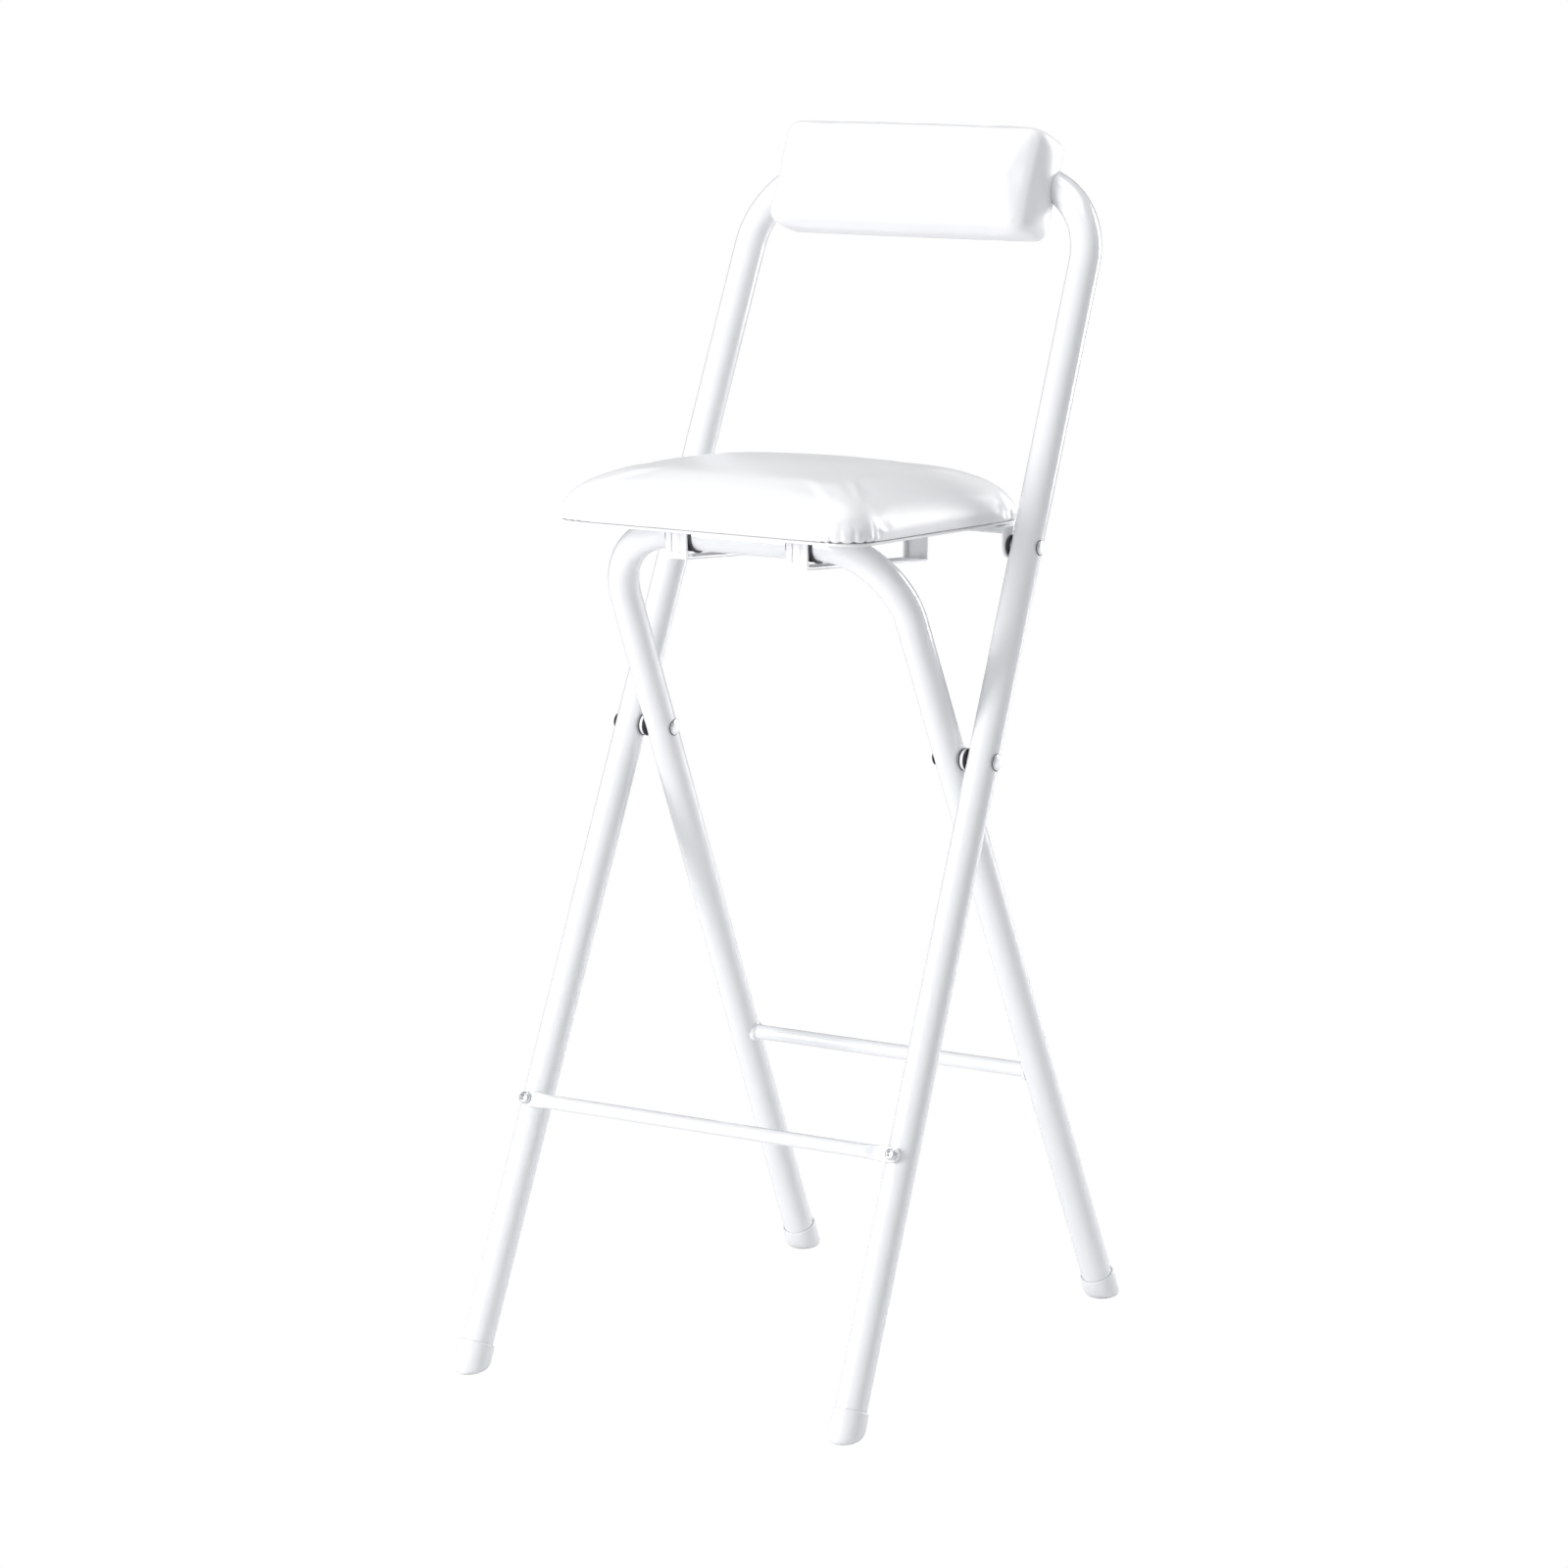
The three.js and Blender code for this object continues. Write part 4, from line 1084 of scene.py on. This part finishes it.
def pillow(half_width, low, high, corner, bottom, widest, edge, tuck, shoulder, fullness,
           ends=1.0):
    """A padded form: its skirt, its full side and its wide round shoulder."""
    bm = rounded_slab(half_width, low, high, corner, bottom, widest)
    middle = Vector((0, (low + high) / 2, 0))
    half_depth = (high - low) / 2
    foot = [vert for vert in bm.verts if abs(vert.co.z - bottom) < SAME]
    bmesh.ops.scale(bm, vec=(1 - tuck / half_width, 1 - tuck / half_depth, 1), verts=foot,
                    space=Matrix.Translation(-middle))
    bm.normal_update()
    top = max(bm.faces, key=lambda face: face.calc_center_median().z)
    across = along = 1.0
    height = widest
    for step in range(1, SHOULDER_STEPS + 1):
        share = (step / SHOULDER_STEPS) ** SHOULDER_EASE
        rise = (1 - (1 - share) ** fullness) ** (1 / fullness)
        top = bmesh.ops.extrude_discrete_faces(bm, faces=[top])["faces"][0]
        next_across = 1 - shoulder * share / half_width
        next_along = 1 - ends * shoulder * share / half_depth
        bmesh.ops.scale(bm, vec=(next_across / across, next_along / along, 1),
                        verts=top.verts, space=Matrix.Translation(-middle))
        next_height = widest + (edge - widest) * rise
        bmesh.ops.translate(bm, verts=top.verts, vec=(0, 0, next_height - height))
        across, along, height = next_across, next_along, next_height
    return bm


def crown_on(points, half_width, low, high, widest, edge, crown, fall):
    """Raises the top of a padded form towards its middle."""
    middle, half_depth = (low + high) / 2, (high - low) / 2
    across = np.clip(np.abs(points[:, 0]) / half_width, 0, 1)
    along = np.clip(np.abs(points[:, 1] - middle) / half_depth, 0, 1)
    lift = np.clip((points[:, 2] - widest) / (edge - widest), 0, 1)
    points[:, 2] += crown * (1 - across ** fall) * (1 - along ** fall) * lift


def corner_pleats(points, normals, half_width, low, high, corner, bottom):
    """Small gathers where the cover is drawn round each lower corner."""
    middle, half_depth = (low + high) / 2, (high - low) / 2
    x = np.abs(points[:, 0]) - (half_width - PLEAT_START * corner)
    y = np.abs(points[:, 1] - middle) - (half_depth - PLEAT_START * corner)
    round_corner = np.clip(np.minimum(x, y) / (PLEAT_FADE * corner), 0, 1)
    turn = np.arctan2(y, np.maximum(x, SAME))
    uneven = sum(strength * np.sin(around * turn + along * points[:, axis])
                 for strength, around, along, axis in PLEAT_WAVES)
    waves = 0.5 + 0.5 * np.cos(PLEAT_COUNT * turn + uneven * PLEAT_UNEVEN)
    height = np.exp(-((points[:, 2] - bottom) / PLEAT_HEIGHT) ** 2)
    depth = PLEAT_DEPTH * waves ** PLEAT_NARROW * round_corner * height
    points -= normals * depth[:, None]


def welt(half_width, low, high, corner, height, radius):
    """A thin piping that runs round a cushion's lower edge."""
    bm = bmesh.new()
    straight = half_width - corner
    ring = ring_of_tube(bm, radius, WELT_SIDES, (0, low, height))
    ring = run_on(bm, ring, (straight, 0, 0))
    for turn_at, onward in ((low + corner, (0, high - low - 2 * corner, 0)),
                            (high - corner, (-straight, 0, 0))):
        ring = bend_on(bm, ring, (straight, turn_at, height), (0, 0, 1), QUARTER,
                       2 * CORNER_STEPS)
        ring = run_on(bm, ring, onward)
    mirror_over(bm)
    return bm


def seat_pad():
    """The seat's padded top: a full, soft-shouldered cushion that wraps the tray's rim."""
    bottom = RIM_BOTTOM + PAN_WALL + GAP
    half_width = SEAT_HALF_WIDTH + SEAT_PAD_OVERHANG
    low = -SEAT_FRONT - SEAT_PAD_OVERHANG
    high = SEAT_REAR + SEAT_PAD_OVERHANG
    widest = bottom + SEAT_PAD_WAIST
    swell, proud = SEAT_PAD_SWELL, SEAT_PAD_PROUD
    form = pillow(half_width - swell + proud, low + swell - proud, high - swell + proud,
                  SEAT_PAD_CORNER, bottom, widest, SEAT_PAD_EDGE - swell, SEAT_PAD_TUCK - swell,
                  SEAT_PAD_SHOULDER, SEAT_PAD_FULLNESS)
    piece = object_of(form, "seat_padding")
    remeshed(piece)

    def crowned(points):
        crown_on(points, half_width, low, high, widest, SEAT_PAD_EDGE, SEAT_PAD_CROWN,
                 SEAT_PAD_CROWN_FALL)

    def drawn(points):
        normals = places(piece.data, "normal")
        corner_pleats(points, normals, half_width, low, high, SEAT_PAD_CORNER, bottom)

    shaped_by(piece, crowned)
    stuffed(piece, bottom, SEAT_PAD_HELD, swell)
    smoothed(piece)
    shaped_by(piece, drawn)

    pan_room = rounded_slab(SEAT_HALF_WIDTH + GAP, -SEAT_FRONT - GAP, SEAT_REAR + GAP,
                            SEAT_CORNER + GAP, 0, PAN_TOP + GAP)
    inset = BOARD_INSET - GAP
    board_room = rounded_slab(SEAT_HALF_WIDTH - inset, -SEAT_FRONT + inset, SEAT_REAR - inset,
                              SEAT_CORNER - inset, PAN_UNDER, PAN_TOP + BOARD + 2 * GAP)
    cut_away(piece, object_of(pan_room, "pan_room"), object_of(board_room, "board_room"))
    cushion_done(piece, SEAT_PLACE)
    settle(piece, white_leather, "seat", "seat_cushion")
    beside = SEAT_HALF_WIDTH + PAN_LIP + GAP + SEAT_WELT
    reach = beside - SEAT_HALF_WIDTH
    finished(welt(beside, -SEAT_FRONT - reach, SEAT_REAR + reach, SEAT_CORNER + reach,
                  RIM_BOTTOM + WELT_REST + SEAT_WELT, SEAT_WELT),
             "seat_welt", SEAT_PLACE, welt_leather, "seat")


def back_pad():
    """The backrest's cushion, full at the front and drawn round the board at the back."""
    edge = BACK_FRONT - BACK_PAD_CROWN
    widest = BACK_PAD_WAIST - BACK_REAR
    swell = BACK_PAD_SWELL
    form = pillow(BACK_HALF_LENGTH - swell, BACK_LOW, BACK_HIGH - swell / 2, BACK_PAD_CORNER,
                  -BACK_REAR, widest, edge - swell, BACK_PAD_TUCK - swell, BACK_PAD_SHOULDER,
                  BACK_PAD_FULLNESS, BACK_PAD_ENDS)
    piece = object_of(form, "backrest_padding")
    remeshed(piece)

    def crowned(points):
        crown_on(points, BACK_HALF_LENGTH, BACK_LOW, BACK_HIGH, widest, edge, BACK_PAD_CROWN,
                 BACK_PAD_CROWN_FALL)
        height = (points[:, 1] - BACK_LOW) / (BACK_HIGH - BACK_LOW)
        bow = 1 - (points[:, 0] / BACK_HALF_LENGTH) ** 2
        points[:, 1] += BACK_PAD_ARCH * bow * np.clip(height, 0, 1)
        behind = np.clip((edge - points[:, 2]) / edge, 0, 1)
        points[:, 1] += BACK_PAD_TAPER * behind * np.clip(1 - 2 * height, 0, 1)

    shaped_by(piece, crowned)
    stuffed(piece, -BACK_REAR, BACK_PAD_HELD, swell)
    smoothed(piece)
    middle = Vector((0, (BACK_LOW + BACK_HIGH) / 2, 0))
    piece.data.transform(Matrix.Translation(middle + BACK_PAD_SHIFT)
                         @ Matrix.Rotation(BACK_PAD_TURN, 4, "Z") @ Matrix.Translation(-middle))
    inset = BACK_BOARD_INSET - GAP
    board_room = rounded_slab(BACK_HALF_LENGTH - inset, BACK_LOW + inset, BACK_HIGH - inset,
                              BACK_CORNER - inset, -BACK_REAR - BACK_BOARD_OPEN,
                              BACK_BOARD - BACK_REAR + GAP)
    groove = bmesh.new()
    ring = bar_and_bend(groove, TUBE_RADIUS + GAP, BACK_HALF_WIDTH, BACK_REACH, BACK_BEND)
    bmesh.ops.edgeloop_fill(groove, edges=ring)
    mirror_over(groove)
    bmesh.ops.rotate(groove, verts=groove.verts, cent=(0, 0, 0),
                     matrix=Matrix.Rotation(-QUARTER, 3, "X"))
    cut_away(piece, object_of(board_room, "back_board_room"), object_of(groove, "bar_groove"))
    cushion_done(piece, BACK_PLACE @ FACING_FRONT)
    settle(piece, white_leather, "back_frame", "back_cushion")


seat_pad()
back_pad()

# The boards keep their nodes' shapes, and the backrest's has the cover drawn over its back
for board, cover in (("seat_board", plywood), ("back_board", white_leather)):
    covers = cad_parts[board].data.materials
    covers.clear()
    covers.append(cover)

# Studio
STUDIO_FRONT = (0.0, -0.96, 0.25)
SKY_AHEAD = 0.7
SKY_BEHIND = 0.23
FLOOR_HALF = 30
STOOL_MIDDLE = (0, 0, 0.5)


def white_to_camera(tree, lit, white, output):
    """Lets the camera see plain white where the scene sees the lit surface."""
    seen = tree.nodes.new("ShaderNodeLightPath")
    mix = tree.nodes.new("ShaderNodeMixShader")
    tree.links.new(seen.outputs["Is Camera Ray"], mix.inputs["Fac"])
    tree.links.new(lit, mix.inputs[1])
    tree.links.new(white, mix.inputs[2])
    tree.links.new(mix.outputs["Shader"], tree.nodes[output].inputs["Surface"])


def stage_floor():
    """A white sweep of floor that stays white to the camera."""
    bm = bmesh.new()
    bmesh.ops.create_grid(bm, x_segments=1, y_segments=1, size=FLOOR_HALF)
    floor = object_of(bm, "floor")
    material, tree, surface = new_material("studio_white")
    surface.inputs["Base Color"].default_value = (0.85, 0.85, 0.86, 1)
    surface.inputs["Roughness"].default_value = 0.9
    glow = tree.nodes.new("ShaderNodeEmission")
    glow.inputs["Color"].default_value = WHITE
    white_to_camera(tree, surface.outputs["BSDF"], glow.outputs["Emission"], "Material Output")
    floor.data.materials.append(material)


def studio_sky():
    """Soft light from all round, brighter in front than behind, and white to the camera."""
    world = bpy.data.worlds.new("studio")
    scene.world = world
    world.use_nodes = True
    tree = world.node_tree
    lit = tree.nodes["Background"]
    lit.inputs["Color"].default_value = (0.95, 0.97, 1.0, 1)
    way = tree.nodes.new("ShaderNodeTexCoord")
    ahead = tree.nodes.new("ShaderNodeVectorMath")
    ahead.operation = "DOT_PRODUCT"
    ahead.inputs[1].default_value = STUDIO_FRONT
    fall = tree.nodes.new("ShaderNodeMapRange")
    fall.inputs["From Min"].default_value = -0.8
    fall.inputs["From Max"].default_value = 0.9
    fall.inputs["To Min"].default_value = SKY_BEHIND
    fall.inputs["To Max"].default_value = SKY_AHEAD
    tree.links.new(way.outputs["Generated"], ahead.inputs[0])
    tree.links.new(ahead.outputs["Value"], fall.inputs["Value"])
    tree.links.new(fall.outputs["Result"], lit.inputs["Strength"])
    white = tree.nodes.new("ShaderNodeBackground")
    white.inputs["Color"].default_value = WHITE
    white_to_camera(tree, lit.outputs["Background"], white.outputs["Background"],
                    "World Output")


def soft_box(name, place, size, power):
    """A large soft light turned towards the stool's middle."""
    data = bpy.data.lights.new(name, "AREA")
    data.shape = "RECTANGLE"
    data.size = size[0]
    data.size_y = size[1]
    data.energy = power
    light = bpy.data.objects.new(name, data)
    light.location = place
    aim = Vector(STOOL_MIDDLE) - Vector(place)
    light.rotation_mode = "QUATERNION"
    light.rotation_quaternion = aim.to_track_quat("-Z", "Y")
    scene.collection.objects.link(light)


stage_floor()
studio_sky()
soft_box("key", place=(-1.45, -2.8, 1.25), size=(0.9, 1.7), power=68)
soft_box("rim", place=(1.1, 2.8, 1.2), size=(1.0, 2.0), power=52)
soft_box("top", place=(0, 0.2, 2.8), size=(1.6, 1.6), power=18)
scene.view_settings.view_transform = "Standard"
scene.view_settings.look = "None"
